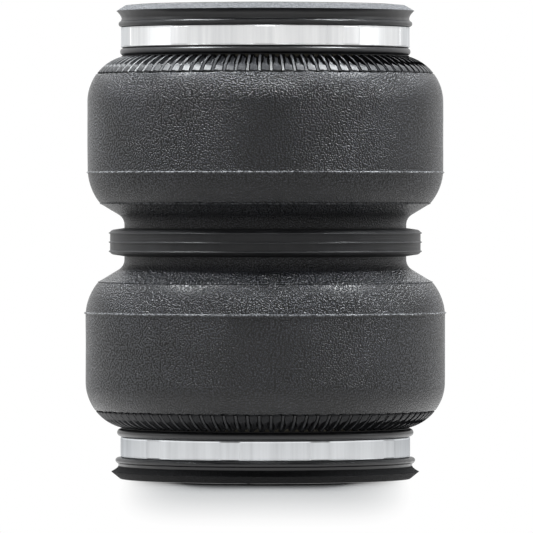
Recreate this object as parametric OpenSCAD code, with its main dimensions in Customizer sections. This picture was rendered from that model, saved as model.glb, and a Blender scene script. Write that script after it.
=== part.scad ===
// Air bellows actuator: a double-convoluted air spring on crimped end caps.
// Units are millimetres, +Z runs up the axis, z = 0 is the lower mounting face.
// Both ends are drawn in one end frame, with z measured from that end's mounting face.

/* [Overall] */
// Height between the two mounting faces, as moulded
overall_h = 202; // [196:1:226]
// Shortening of the whole spring at which the bump stop meets the upper cap
full_bump = 81; // [50:1:92]
// Gap left in every seat, bond line and press fit
fit_gap = 0.1; // [0.05:0.05:0.2]

/* [Bellows] */
// Crown diameter of the upper convolution
upper_crown_d = 151.4; // [144:0.2:160]
// Crown diameter of the lower convolution, which carries the weight and spreads
lower_crown_d = 153; // [144:0.2:160]
// Outside diameter of the bellows under the girdle hoop
neck_d = 120; // [112:1:124]
// Outside diameter of the bellows where it leaves the clamp
collar_d = 122.6; // [116:0.2:128]
// Thickness of the outer cover
cover_t = 2.6; // [2.2:0.1:3.2]
// Thickness of the two bonded cord plies together
ply_t = 1.4; // [1:0.1:2]
// Thickness of the air-tight inner liner
liner_t = 1; // [0.8:0.1:1.6]
// Profile radius of the shoulder between clamp and crown
shoulder_round = 20; // [18:0.5:26]
// Profile radius of the crown on the side of the girdle hoop
crown_round = 22.9; // [16:0.1:28]
// Turn of the crown arc where the mould line breaks it
mould_angle = 40.6; // [30:0.2:50]
// Steepness of the flank between mould line and neck, from the axis
flank_angle = 58.8; // [52:0.2:66]
// Fillet between flank and neck
neck_round = 5; // [3:0.5:8]
// Straight neck between the girdle hoop and the fillet
neck_land = 1.8; // [1:0.1:4]
// Height of the raised flash along the mould parting line
flash_h = 0.5; // [0.2:0.1:0.8]
// Turn of the crown arc where the parting line lies
parting_angle = 4.1; // [0:0.1:8]

/* [Ribbed shoulder] */
// Fins on one shoulder, with one pad between each two
rib_count = 90; // [60:2:100]
// Height of the ribbed zone along the axis
rib_h = 7; // [5:0.1:9]
// Width of a fin
fin_w = 0.9; // [0.6:0.1:1.2]
// Width of a pad at the clamp
pad_w = 1.6; // [1:0.1:2]
// Slot left between fin and pad at the rib line
slot_w = 0.3; // [0.1:0.05:0.4]
// Depth of the pockets under the chord of the shoulder
pocket_depth = 0.9; // [0.4:0.1:1.1]
// Seam between the ribbed zone and the smooth crown
seam_w = 0.4; // [0.3:0.1:0.6]

/* [Sleeve ends] */
// Diameter of the lip on the upper end
upper_lip_d = 126.8; // [124:0.2:134]
// Diameter of the lip on the lower end
lower_lip_d = 131; // [124:0.2:134]
// Diameter of the outer bead on the upper end
upper_bead_d = 125; // [124:0.2:130]
// Diameter of the outer bead on the lower end
lower_bead_d = 127.6; // [124:0.2:130]
// How much the inner bead is smaller than the outer one, on the radius
bead_step = 0.7; // [0.2:0.1:1]
// Height of the sharp lip edge above the rubber end
lip_h = 3.1; // [2:0.1:3.4]
// Width of the cut cone from the lip edge to the rubber end
lip_cut = 3.6; // [2.4:0.1:4.2]
// Depth of the groove behind the lip, from the outer bead
lip_groove = 1.3; // [0.8:0.1:1.5]
// Profile radius of the outer bead
outer_bead_round = 1.2; // [1:0.05:1.5]
// Profile radius of the inner bead
inner_bead_round = 1.65; // [1.2:0.05:1.9]
// How far the cap face stands proud of the rubber end
cap_proud = 0.3; // [0.1:0.1:1]

/* [Crimp bands] */
// Distance from the mounting face to the band
band_z = 9.5; // [9:0.1:12]
// Height of a band
band_h = 8.8; // [7:0.1:11]
// Wall of a band
band_t = 1.6; // [1.2:0.1:2.4]
// Rubber left under the band after crimping
clamped_t = 3.7; // [3:0.1:4.6]
// Jaws of the crimping press
jaw_count = 10; // [8:1:14]
// Angle of the uncrimped strip between two jaws
jaw_strip_angle = 8; // [4:0.5:12]
// How far that strip stands proud
jaw_strip_h = 0.25; // [0.15:0.05:0.4]

/* [Girdle hoop] */
// Height of the girdle hoop
girdle_h = 11.2; // [9.5:0.1:14]
// Moulded cover outside the wire
hoop_cover_t = 2.7; // [2:0.1:4]
// Height of the moulded ridges
hoop_ridge_h = 0.6; // [0.3:0.1:0.8]
// Diameter of the girdle wire
wire_d = 1.5; // [1.1:0.1:1.8]
// Turns of wire side by side along the axis
wire_rows = 4; // [2:1:4]
// Layers of wire
wire_layers = 2; // [1:1:3]

/* [End caps] */
// How far the cap reaches past the band into the air chamber
cap_reach = 2.7; // [2:0.1:5]
// Thickness of the pressure wall of a cap
cap_floor_t = 5; // [4:0.5:7]
// Thickness of the cap rim
cap_rim_t = 4.5; // [3.5:0.5:7]
// Radial ribs of a cap
cap_rib_count = 12; // [8:2:16]
// Thickness of the cap ribs
cap_rib_t = 3; // [2:0.5:4]
// Diameter of the solid hub of a cap
cap_hub_d = 24; // [20:1:28]
// Height of the barbs that hold the rubber
barb_h = 0.5; // [0.3:0.1:0.8]
// Barbs under a band
barb_count = 3; // [2:1:4]
// Rounded edge of the cap on the chamber side
cap_edge = 2; // [1:0.5:2.5]

/* [Fixings] */
// Distance between the two bolts of one end
bolt_spacing = 70; // [64:1:76]
// Bore of the threaded inserts, at the major diameter of the thread
bolt_bore_d = 9.6; // [8:0.1:11]
// Length of an insert
insert_l = 15; // [11:0.5:17]
// Thread depth of an insert
bolt_depth = 12.5; // [8:0.5:13]
// Wall of inserts and of the air port bush
insert_wall = 2.7; // [2:0.1:4]
// Cap material round inserts and bush
boss_wall = 3; // [2:0.5:4]
// Bore of the air port, at the major diameter of the thread
port_bore_d = 13.2; // [10:0.1:14.5]
// Length of the air port bush
port_l = 14; // [10:0.5:16]
// Distance of the air port from the axis
port_y = 22; // [20:0.5:26]
// Air passage from the port into the chamber
passage_d = 8; // [5:0.5:9]

/* [Bump stop] */
// Diameter of the bump stop
bump_d = 50; // [40:1:60]
// Bore of the bump stop
bump_bore_d = 18; // [16:0.5:22]
// Clearance left at full bump
bump_clear = 1; // [0.5:0.5:3]
// Height of the steel cup
cup_h = 9; // [6:0.5:14]
// Sheet of the steel cup
cup_t = 2; // [1.5:0.1:3]
// Diameter of the screw
screw_d = 8; // [6:0.5:9]
// Length of the screw in the cap
screw_reach = 11; // [8:0.5:14]

/* [Hidden] */
$fn = 96;
cover_steps = 10;
rib_steps = 4;
wall_t = cover_t + ply_t + liner_t + 2 * fit_gap;
collar_r = collar_d / 2;
neck_r = neck_d / 2;
mid_z = overall_h / 2;
land_r = collar_r - wall_t - fit_gap;
seat_r = land_r + fit_gap + clamped_t;
band_r = seat_r + fit_gap + band_t;
outer_bead_z = band_z - fit_gap - outer_bead_round;
inner_bead_z = band_z + band_h + fit_gap + inner_bead_round;
groove_z = outer_bead_z - outer_bead_round - 0.9;
end_h = inner_bead_z + inner_bead_round + 0.2;
collar_h = 0.2;
rib_line_z = end_h + collar_h + rib_h;
cap_h = band_z + band_h + cap_reach;
ply_d = cover_t + fit_gap;
liner_d = ply_d + ply_t + fit_gap;
wire_pitch = wire_d + fit_gap;
channel_w = wire_layers * wire_pitch + fit_gap;
channel_h = wire_rows * wire_pitch + fit_gap;
hoop_in = neck_r + fit_gap;
hoop_r = hoop_in + channel_w + hoop_cover_t;
insert_r = bolt_bore_d / 2 + insert_wall;
bush_r = port_bore_d / 2 + insert_wall;
bump_top = overall_h - cap_h - full_bump - bump_clear;
bump_z = cap_h + cup_t + fit_gap;
bump_r = bump_d / 2;

// Points of an arc in the profile plane
function arc(c, r, a0, a1, n) =
    [for (i = [0:n]) c + r * [cos(a0 + (a1 - a0) * i / n), sin(a0 + (a1 - a0) * i / n)]];

// Outward normal of one stretch of a profile that is drawn with growing z
function outward(p, q) = let (t = (q - p) / norm(q - p)) [t[1], -t[0]];

// Profile moved by d into the wall, with mitred corners
function inset(path, d) =
    let (last = len(path) - 1)
    [for (i = [0:last])
        let (a = outward(path[max(i, 1) - 1], path[max(i, 1)]))
        let (b = outward(path[min(i, last - 1)], path[min(i, last - 1) + 1]))
        path[i] - d * (a + b) / (1 + a * b)];

// Closed outline of a layer that lies from d0 to d1 inside a profile
function layer(path, d0, d1) =
    let (inner = inset(path, d1))
    concat(inset(path, d0), [for (i = [len(inner) - 1:-1:0]) inner[i]]);

// Arc radius of the shoulder, never smaller than the step it has to cover
function shoulder_r(crown_r) = max(shoulder_round, 1.03 * (crown_r - collar_r));

// Arc radius of the crown, limited by the room between neck and crown
function crown_arc_r(crown_r) =
    min(crown_round,
        0.6 * (crown_r - neck_r - neck_round * (1 - cos(flank_angle))) / (1 - cos(mould_angle)));

// Angle of the shoulder arc at the clamp
function clamp_angle(crown_r) = acos(1 - (crown_r - collar_r) / shoulder_r(crown_r));

// Height of the shoulder arc centre
function shoulder_z(crown_r) = end_h + collar_h + shoulder_r(crown_r) * sin(clamp_angle(crown_r));

// Angle of the shoulder arc at the rib line
function rib_angle(crown_r) = asin((shoulder_z(crown_r) - rib_line_z) / shoulder_r(crown_r));

// Height of the kink at the mould line
function kink_z(crown_r) =
    mid_z - girdle_h / 2 - neck_land - neck_round * sin(flank_angle)
    - (crown_r - crown_arc_r(crown_r) * (1 - cos(mould_angle)) - neck_r
        - neck_round * (1 - cos(flank_angle))) / tan(flank_angle);

// Height at which the crown arc starts
function crown_z(crown_r) = kink_z(crown_r) - crown_arc_r(crown_r) * sin(mould_angle);

// Outside profile of the ribbed zone
function rib_path(crown_r) =
    let (r = shoulder_r(crown_r))
    concat([[collar_r, end_h]],
        arc([crown_r - r, shoulder_z(crown_r)], r, -clamp_angle(crown_r), -rib_angle(crown_r), rib_steps));

// Outside profile from the rib line to the middle of the girdle hoop
function crown_path(crown_r, start) =
    let (r = shoulder_r(crown_r))
    let (c = crown_arc_r(crown_r))
    let (neck_z = mid_z - girdle_h / 2 - neck_land)
    concat(arc([crown_r - r, shoulder_z(crown_r)], r, start - rib_angle(crown_r), 0, cover_steps),
        arc([crown_r - c, crown_z(crown_r)], c, 0, mould_angle, cover_steps),
        arc([neck_r + neck_round, neck_z], neck_round, 180 + flank_angle, 180, cover_steps),
        [[neck_r, mid_z]]);

// Outside profile of the whole convolution
function wall_path(crown_r) =
    let (tail = crown_path(crown_r, 0))
    concat(rib_path(crown_r), [for (i = [1:len(tail) - 1]) tail[i]]);

// Barbed land of a cap, moved outward by gap
function land_path(gap) =
    let (pitch = band_h / barb_count)
    [for (i = [0:barb_count - 1]) each [
        [land_r + gap, band_z + pitch * i],
        [land_r + barb_h + gap, band_z + pitch * i + 0.25 * pitch],
        [land_r + gap, band_z + pitch * i + 0.8 * pitch]]];

// Puts an end drawn in the end frame on the upper end
module at_top() {
    translate([0, 0, overall_h])
        mirror([0, 0, 1])
            children();
}

// One shell layer of the bellows between two depths
module shell(path, d0, d1) {
    rotate_extrude()
        polygon(layer(path, d0, d1));
}

// Pocket between a pad and its fin, drawn on the chord of the shoulder
module rib_pocket(chord, tilt) {
    half = 180 / rib_count;
    reach = 0.96 * chord;
    far = (collar_r + reach * cos(tilt)) * tan(half) - fin_w / 2;
    near = collar_r * tan(half) - fin_w / 2;
    polygon([[-0.2, pad_w / 2], [0.5 * chord, pad_w / 2],
        [0.66 * chord, pad_w / 2 + 0.35 * (far - pad_w / 2)],
        [0.82 * chord, pad_w / 2 + 0.75 * (far - pad_w / 2)],
        [reach, far - slot_w], [reach, far], [-0.2, near]]);
}

// Ring of fins and pads
module rib_shoulder(crown_r) {
    path = rib_path(crown_r);
    first = path[1];
    run = path[len(path) - 1] - first;
    chord = norm(run);
    tilt = atan2(run[1], run[0]);
    difference() {
        shell(path, 0, cover_t);
        for (i = [0:rib_count - 1])
            for (side = [0, 1])
                rotate([0, 0, 360 / rib_count * i])
                    mirror([0, side, 0])
                        translate([first[0], 0, first[1]])
                            rotate([0, -tilt, 0])
                                translate([0, 0, -2])
                                    linear_extrude(height = 2 + pocket_depth)
                                        rib_pocket(chord, tilt);
    }
}

// Smooth part of a convolution with the flash on its parting line
module convolution(crown_r) {
    seam_angle = 180 * seam_w / (PI * shoulder_r(crown_r));
    c = crown_arc_r(crown_r);
    union() {
        shell(crown_path(crown_r, seam_angle), 0, cover_t);
        rotate_extrude()
            translate([crown_r - c, crown_z(crown_r)])
                rotate(parting_angle)
                    translate([c, 0])
                        polygon([[-0.6, -0.8], [0, -0.5], [flash_h, 0], [0, 0.5], [-0.6, 0.8]]);
    }
}

// Clamped end of the bellows with lip, groove and beads
module sleeve_end(lip_d, bead_d) {
    lip_r = max(lip_d / 2, bead_d / 2);
    outer_r = bead_d / 2;
    inner_r = bead_d / 2 - bead_step;
    land = land_path(fit_gap);
    rotate_extrude()
        polygon(concat(
            [[land_r + fit_gap, cap_proud], [lip_r - lip_cut, cap_proud], [lip_r, cap_proud + lip_h],
                [0.4 * lip_r + 0.6 * (outer_r - lip_groove), 0.6 * groove_z + 0.4 * (cap_proud + lip_h)],
                [outer_r - lip_groove, groove_z]],
            arc([outer_r - outer_bead_round, outer_bead_z], outer_bead_round, -90, 90, cover_steps),
            [[seat_r, band_z - fit_gap], [seat_r, band_z + band_h + fit_gap]],
            arc([inner_r - inner_bead_round, inner_bead_z], inner_bead_round, -90, 90, cover_steps),
            [[collar_r, inner_bead_z + inner_bead_round], [collar_r, end_h], [collar_r - wall_t, end_h]],
            [for (i = [len(land) - 1:-1:0]) land[i]]));
}

// Crimped ring with rolled edges and the strips left between the jaws
module crimp_band(turn) {
    edge = 0.25 * band_t;
    in_r = seat_r + fit_gap;
    color("silver")
        union() {
            rotate_extrude()
                polygon([[in_r, band_z + edge], [in_r + edge, band_z], [band_r - edge, band_z],
                    [band_r, band_z + edge], [band_r, band_z + band_h - edge],
                    [band_r - edge, band_z + band_h], [in_r + edge, band_z + band_h],
                    [in_r, band_z + band_h - edge]]);
            for (i = [0:jaw_count - 1])
                rotate([0, 0, turn + 360 / jaw_count * i - jaw_strip_angle / 2])
                    rotate_extrude(angle = jaw_strip_angle)
                        translate([band_r - 0.5 * band_t, band_z + 2 * edge])
                            square([0.5 * band_t + jaw_strip_h, band_h - 4 * edge]);
        }
}

// Outside of a threaded insert with its holding groove
function insert_path(gap) =
    let (slope_gap = tan(22.5) * gap)
    [[0, -1], [insert_r + gap, -1], [insert_r + gap, 0.35 * insert_l + slope_gap],
    [insert_r - 1 + gap, 0.35 * insert_l + 1 + slope_gap],
    [insert_r - 1 + gap, 0.65 * insert_l - 1 - slope_gap],
    [insert_r + gap, 0.65 * insert_l - slope_gap], [insert_r + gap, insert_l + gap], [0, insert_l + gap]];

// The two inserts of one end
module cap_inserts() {
    for (x = [-bolt_spacing / 2, bolt_spacing / 2])
        translate([x, 0, 0])
            difference() {
                intersection() {
                    rotate_extrude()
                        polygon(insert_path(0));
                    cylinder(r = 2 * insert_r, h = insert_l);
                }
                translate([0, 0, -1])
                    cylinder(d = bolt_bore_d, h = bolt_depth + 1);
            }
}

// Moulded cap with a ribbed seat, open pockets and a closed pressure wall
module end_cap_body(has_port) {
    land = land_path(0);
    pocket_h = cap_h - cap_floor_t;
    ring_r = bolt_spacing / 2;
    difference() {
        rotate_extrude()
            polygon(concat([[0, 0], [land_r, 0]], land,
                [[land_r, cap_h - cap_edge], [land_r - cap_edge / 2, cap_h - cap_edge / 4],
                    [land_r - 1.5 * cap_edge, cap_h], [0, cap_h]]));
        difference() {
            translate([0, 0, -1])
                cylinder(r = land_r - cap_rim_t, h = pocket_h + 1);
            translate([0, 0, -2])
                cylinder(d = cap_hub_d, h = pocket_h + 3);
            for (i = [0:cap_rib_count - 1])
                rotate([0, 0, 360 / cap_rib_count * (i + 0.5)])
                    translate([0, -cap_rib_t / 2, -2])
                        cube([land_r - cap_rim_t / 2, cap_rib_t, pocket_h + 3]);
            translate([0, 0, -2])
                difference() {
                    cylinder(r = ring_r + cap_rib_t / 2, h = pocket_h + 3);
                    translate([0, 0, -1])
                        cylinder(r = ring_r - cap_rib_t / 2, h = pocket_h + 5);
                }
            for (x = [-ring_r, ring_r])
                translate([x, 0, -2])
                    cylinder(r = insert_r + boss_wall, h = pocket_h + 3);
            if (has_port)
                translate([0, port_y, -2])
                    cylinder(r = bush_r + boss_wall, h = pocket_h + 3);
        }
        for (x = [-ring_r, ring_r])
            translate([x, 0, 0])
                rotate_extrude()
                    polygon(insert_path(fit_gap));
    }
}

module lower_end_cap() {
    color([0.13, 0.13, 0.14])
        difference() {
            end_cap_body(false);
            translate([0, 0, cap_h - screw_reach - 1])
                cylinder(d = screw_d + 2 * fit_gap, h = screw_reach + 2);
        }
}

module upper_end_cap() {
    color([0.13, 0.13, 0.14])
        at_top()
            difference() {
                end_cap_body(true);
                translate([0, port_y, -1])
                    cylinder(r = bush_r + fit_gap, h = port_l + fit_gap + 1);
                translate([0, port_y, -1])
                    cylinder(d = passage_d, h = cap_h + 2);
            }
}

module lower_cap_inserts() {
    color([0.66, 0.67, 0.68])
        cap_inserts();
}

module upper_cap_inserts() {
    color([0.66, 0.67, 0.68])
        at_top()
            cap_inserts();
}

module air_port_bush() {
    color([0.78, 0.62, 0.3])
        at_top()
            translate([0, port_y, 0])
                difference() {
                    cylinder(r = bush_r, h = port_l);
                    translate([0, 0, -1])
                        cylinder(d = port_bore_d, h = port_l + 2);
                }
}

module lower_crimp_band() {
    crimp_band(4);
}

module upper_crimp_band() {
    at_top()
        crimp_band(18);
}

module lower_sleeve_end() {
    color([0.2, 0.2, 0.21])
        sleeve_end(lower_lip_d, lower_bead_d);
}

module upper_sleeve_end() {
    color([0.2, 0.2, 0.21])
        at_top()
            sleeve_end(upper_lip_d, upper_bead_d);
}

module lower_rib_shoulder() {
    color([0.26, 0.26, 0.27])
        rib_shoulder(lower_crown_d / 2);
}

module upper_rib_shoulder() {
    color([0.26, 0.26, 0.27])
        at_top()
            rib_shoulder(upper_crown_d / 2);
}

module lower_convolution() {
    color([0.22, 0.22, 0.23])
        convolution(lower_crown_d / 2);
}

module upper_convolution() {
    color([0.22, 0.22, 0.23])
        at_top()
            convolution(upper_crown_d / 2);
}

module lower_cord_plies() {
    color([0.72, 0.68, 0.58])
        shell(wall_path(lower_crown_d / 2), ply_d, ply_d + ply_t);
}

module upper_cord_plies() {
    color([0.72, 0.68, 0.58])
        at_top()
            shell(wall_path(upper_crown_d / 2), ply_d, ply_d + ply_t);
}

module lower_inner_liner() {
    color([0.15, 0.15, 0.16])
        shell(wall_path(lower_crown_d / 2), liner_d, liner_d + liner_t);
}

module upper_inner_liner() {
    color([0.15, 0.15, 0.16])
        at_top()
            shell(wall_path(upper_crown_d / 2), liner_d, liner_d + liner_t);
}

module girdle_hoop() {
    half = girdle_h / 2;
    ridge_z = half - 2.1;
    color([0.1, 0.1, 0.11])
        translate([0, 0, mid_z])
            rotate_extrude()
                difference() {
                    union() {
                        polygon([[hoop_in, -half - 0.4], [hoop_r - 1.1, -half + 0.4], [hoop_r, -half + 1.4],
                            [hoop_r, half - 1.4], [hoop_r - 1.1, half - 0.4], [hoop_in, half + 0.4]]);
                        for (z = [-ridge_z, 0, ridge_z])
                            translate([hoop_r - 0.3, z])
                                circle(r = 0.3 + hoop_ridge_h, $fn = 24);
                    }
                    translate([hoop_in - 1, -channel_h / 2])
                        square([channel_w + 1, channel_h]);
                }
}

module girdle_wire() {
    color([0.6, 0.6, 0.62])
        translate([0, 0, mid_z])
            for (i = [0:wire_layers - 1])
                for (k = [0:wire_rows - 1])
                    rotate_extrude()
                        translate([hoop_in + wire_pitch * (i + 0.5), wire_pitch * (k - (wire_rows - 1) / 2)])
                            circle(d = wire_d, $fn = 24);
}

module bump_stop() {
    h = bump_top - bump_z;
    seat = cup_h - cup_t;
    free = h - seat;
    bore_r = bump_bore_d / 2;
    lobe = bump_r;
    waist = bore_r + 0.62 * (bump_r - bore_r);
    color([0.85, 0.72, 0.3])
        translate([0, 0, bump_z])
            rotate_extrude()
                polygon([[bore_r, 0], [lobe, 0], [lobe, seat + 0.12 * free], [waist, seat + 0.24 * free],
                    [waist, seat + 0.3 * free], [lobe - 0.6, seat + 0.42 * free],
                    [lobe - 0.6, seat + 0.5 * free],
                    [waist - 0.6, seat + 0.62 * free], [waist - 0.6, seat + 0.68 * free],
                    [lobe - 2, seat + 0.8 * free], [lobe - 2.6, seat + 0.9 * free],
                    [lobe - 5, h], [bore_r, h]]);
}

module bump_stop_cup() {
    out_r = bump_r + fit_gap + cup_t;
    color([0.55, 0.56, 0.58])
        difference() {
            translate([0, 0, cap_h])
                cylinder(r = out_r, h = cup_h);
            translate([0, 0, cap_h + cup_t])
                cylinder(r = bump_r + fit_gap, h = cup_h);
            translate([0, 0, cap_h - 1])
                cylinder(d = screw_d + 2 * fit_gap, h = cup_t + 2);
        }
}

module bump_stop_screw() {
    head_r = 0.8 * screw_d;
    color([0.35, 0.35, 0.37])
        difference() {
            union() {
                translate([0, 0, cap_h - screw_reach])
                    cylinder(d = screw_d, h = screw_reach + cup_t + 1);
                translate([0, 0, cap_h + cup_t])
                    cylinder(r = head_r, h = screw_d);
            }
            translate([0, 0, cap_h + cup_t + 0.5 * screw_d])
                cylinder(d = 0.85 * screw_d, h = screw_d, $fn = 6);
        }
}

upper_end_cap();
upper_cap_inserts();
air_port_bush();
upper_crimp_band();
upper_sleeve_end();
upper_rib_shoulder();
upper_convolution();
upper_cord_plies();
upper_inner_liner();
girdle_hoop();
girdle_wire();
lower_convolution();
lower_cord_plies();
lower_inner_liner();
lower_rib_shoulder();
lower_sleeve_end();
lower_crimp_band();
lower_end_cap();
lower_cap_inserts();
bump_stop();
bump_stop_cup();
bump_stop_screw();
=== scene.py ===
"""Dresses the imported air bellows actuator: grained rubber, ribbed shoulders, crimp bands and caps."""

import logging
import math
from dataclasses import dataclass, field
from enum import Enum
from typing import Callable

import bmesh
import bpy
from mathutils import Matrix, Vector


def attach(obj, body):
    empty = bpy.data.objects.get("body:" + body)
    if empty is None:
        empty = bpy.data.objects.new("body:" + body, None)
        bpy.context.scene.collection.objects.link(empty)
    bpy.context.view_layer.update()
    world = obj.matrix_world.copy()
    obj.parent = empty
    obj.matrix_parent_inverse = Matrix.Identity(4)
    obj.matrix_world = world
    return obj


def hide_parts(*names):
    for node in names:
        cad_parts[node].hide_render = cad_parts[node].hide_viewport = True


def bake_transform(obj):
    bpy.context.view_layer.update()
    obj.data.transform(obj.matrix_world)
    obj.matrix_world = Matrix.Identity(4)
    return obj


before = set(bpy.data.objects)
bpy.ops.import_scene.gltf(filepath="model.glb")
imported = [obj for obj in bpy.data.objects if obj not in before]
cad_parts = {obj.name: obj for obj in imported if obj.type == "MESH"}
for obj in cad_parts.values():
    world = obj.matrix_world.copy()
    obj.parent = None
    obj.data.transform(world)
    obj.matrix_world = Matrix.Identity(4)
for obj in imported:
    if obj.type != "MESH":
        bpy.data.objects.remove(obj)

LOG = logging.getLogger("air_bellows")
MM = 0.001
WELD_GAP = 2e-6
WHITE = (1.0, 1.0, 1.0, 1.0)
Piece = bpy.types.Object
Socket = bpy.types.NodeSocket
Profile = list[Vector]
Triple = tuple[float, float, float]


class End(Enum):
    """The two ends of the bellows."""

    LOWER = "lower"
    UPPER = "upper"


class Layer(Enum):
    """The bonded layers of the bellows wall under its cover."""

    CORD = "cord_plies"
    LINER = "inner_liner"


@dataclass(frozen=True)
class Sizes:
    """Sizes of the bellows in millimetres, those of the solids as in the part's source."""

    overall_h: float = 202.0
    fit_gap: float = 0.1
    upper_crown_d: float = 151.4
    lower_crown_d: float = 153.0
    neck_d: float = 120.0
    collar_d: float = 122.6
    cover_t: float = 2.6
    ply_t: float = 1.4
    liner_t: float = 1.0
    shoulder_round: float = 20.0
    crown_round: float = 22.9
    mould_angle: float = 40.6
    flank_angle: float = 58.8
    neck_round: float = 5.0
    neck_land: float = 1.8
    flash_h: float = 0.5
    parting_angle: float = 4.1
    collar_h: float = 0.2
    rib_count: int = 90
    rib_h: float = 7.0
    fin_w: float = 0.9
    pad_w: float = 1.6
    slot_w: float = 0.3
    seam_w: float = 0.4
    band_z: float = 9.5
    band_h: float = 8.8
    band_t: float = 1.6
    band_roll: float = 0.55
    clamped_t: float = 3.7
    outer_bead_round: float = 1.2
    inner_bead_round: float = 1.65
    bead_step: float = 0.7
    end_land: float = 0.2
    lip_cut: float = 3.6
    lip_groove: float = 1.3
    cap_proud: float = 0.3
    girdle_h: float = 11.2
    hoop_r: float = 66.1
    hoop_flare: float = 0.4
    hoop_ridge_h: float = 0.6
    hoop_ridge_in: float = 1.7
    wire_channel_t: float = 3.3
    wire_channel_h: float = 6.5
    jaw_count: int = 10
    jaw_strip_angle: float = 8.0
    jaw_strip_h: float = 0.25
    barb_h: float = 0.5
    barb_count: int = 3
    bolt_spacing: float = 70.0
    bolt_bore_d: float = 9.6
    bolt_depth: float = 12.5
    bolt_thread_h: float = 0.8
    bolt_pitch: float = 1.59
    port_bore_d: float = 13.2
    port_l: float = 14.0
    port_y: float = 22.0
    port_thread_h: float = 0.85
    port_pitch: float = 1.41

    @property
    def wall_t(self) -> float:
        """Whole wall of the bellows."""
        return self.cover_t + self.ply_t + self.liner_t + 2 * self.fit_gap

    @property
    def neck_r(self) -> float:
        """Radius of the rubber under the girdle hoop."""
        return self.neck_d / 2

    @property
    def collar_r(self) -> float:
        """Radius where the rubber leaves the clamp."""
        return self.collar_d / 2

    @property
    def land_r(self) -> float:
        """Inside radius of the clamped rubber."""
        return self.collar_r - self.wall_t

    @property
    def mid_z(self) -> float:
        """Height of the girdle hoop's middle."""
        return self.overall_h / 2

    @property
    def neck_z(self) -> float:
        """Height at which the flank's round has reached the neck."""
        return self.mid_z - self.girdle_h / 2 - self.neck_land

    @property
    def seat_r(self) -> float:
        """Radius of the rubber under a band."""
        return self.land_r + self.clamped_t

    @property
    def band_r(self) -> float:
        """Outside radius of a band."""
        return self.seat_r + self.fit_gap + self.band_t

    @property
    def band_top(self) -> float:
        """Height of a band's inner edge."""
        return self.band_z + self.band_h

    @property
    def inner_bead_z(self) -> float:
        """Height of the bead between band and ribs."""
        return self.band_top + self.fit_gap + self.inner_bead_round

    @property
    def outer_bead_z(self) -> float:
        """Height of the bead between band and lip."""
        return self.band_z - self.fit_gap - self.outer_bead_round

    @property
    def end_h(self) -> float:
        """Height of the clamped end, from which the rubber moves."""
        return self.inner_bead_z + self.inner_bead_round + self.end_land

    @property
    def blend_to(self) -> float:
        """Height from which the rubber follows the girdle hoop."""
        return self.mid_z - self.girdle_h / 2 - self.hoop_flare


SIZES = Sizes()
# Shares of the ribbed zone at its profile points, from the clamp to the rib line
RIB_SHARES = (0, 0.05, 0.12, 0.22, 0.34, 0.46, 0.54, 0.61, 0.68, 0.75, 0.83, 0.9, 0.945, 0.97, 0.985)
# Columns of the sector that holds one fin and one pad
RIB_COLUMNS = 8
# Radius beyond which the cover is a little wavy
WAVY_FROM_R = 64.0


def points(*pairs: tuple[float, float]) -> Profile:
    """Profile points from pairs of radius and height."""
    return [Vector(pair) for pair in pairs]


def ray(turn: float) -> Vector:
    """Unit vector of the profile plane at an angle in radians."""
    return Vector((math.cos(turn), math.sin(turn)))


def arc(centre: Vector, radius: float, start: float, stop: float, steps: int) -> Profile:
    """Points of an arc in the profile plane.

    Args:
        centre: Centre of the arc.
        radius: Radius of the arc.
        start: First angle in degrees.
        stop: Last angle in degrees.
        steps: Number of stretches.

    Returns:
        The points from start to stop.
    """
    turns = [math.radians(start + (stop - start) * i / steps) for i in range(steps + 1)]
    return [centre + radius * ray(turn) for turn in turns]


def line(first: Vector, last: Vector, steps: int) -> Profile:
    """Points along a straight stretch, both ends included."""
    return [first.lerp(last, i / steps) for i in range(steps + 1)]


def inset(path: Profile, depth: float) -> Profile:
    """Moves a profile into the wall, with mitred corners.

    Args:
        path: Profile drawn with growing z.
        depth: Distance into the wall.

    Returns:
        The moved profile, point for point.
    """
    normals = []
    for first, last in zip(path, path[1:]):
        along = (last - first).normalized()
        normals.append(Vector((along.y, -along.x)))
    moved = []
    for i, point in enumerate(path):
        a = normals[max(i, 1) - 1]
        b = normals[min(i, len(normals) - 1)]
        moved.append(point - depth * (a + b) / (1 + a.dot(b)))
    return moved


def thin_out(path: Profile, gap: float = 1e-4) -> Profile:
    """Drops points that repeat the one before.

    Args:
        path: Profile points.
        gap: Distance up to which two points are one.

    Returns:
        The points that are left.
    """
    kept = [path[0]]
    for point in path[1:]:
        if (point - kept[-1]).length > gap:
            kept.append(point)
    return kept


def ease(value: float, low: float, high: float) -> float:
    """Smooth step from 0 at low to 1 at high."""
    t = min(max((value - low) / (high - low), 0.0), 1.0)
    return t * t * (3 - 2 * t)


def off_axis(place: Vector) -> float:
    """Distance of a place from the axis."""
    return math.hypot(place.x, place.y)


def in_profile(place: Vector) -> Vector:
    """Turns a place into the profile plane, radius and height."""
    return Vector((off_axis(place), place.z))


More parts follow.
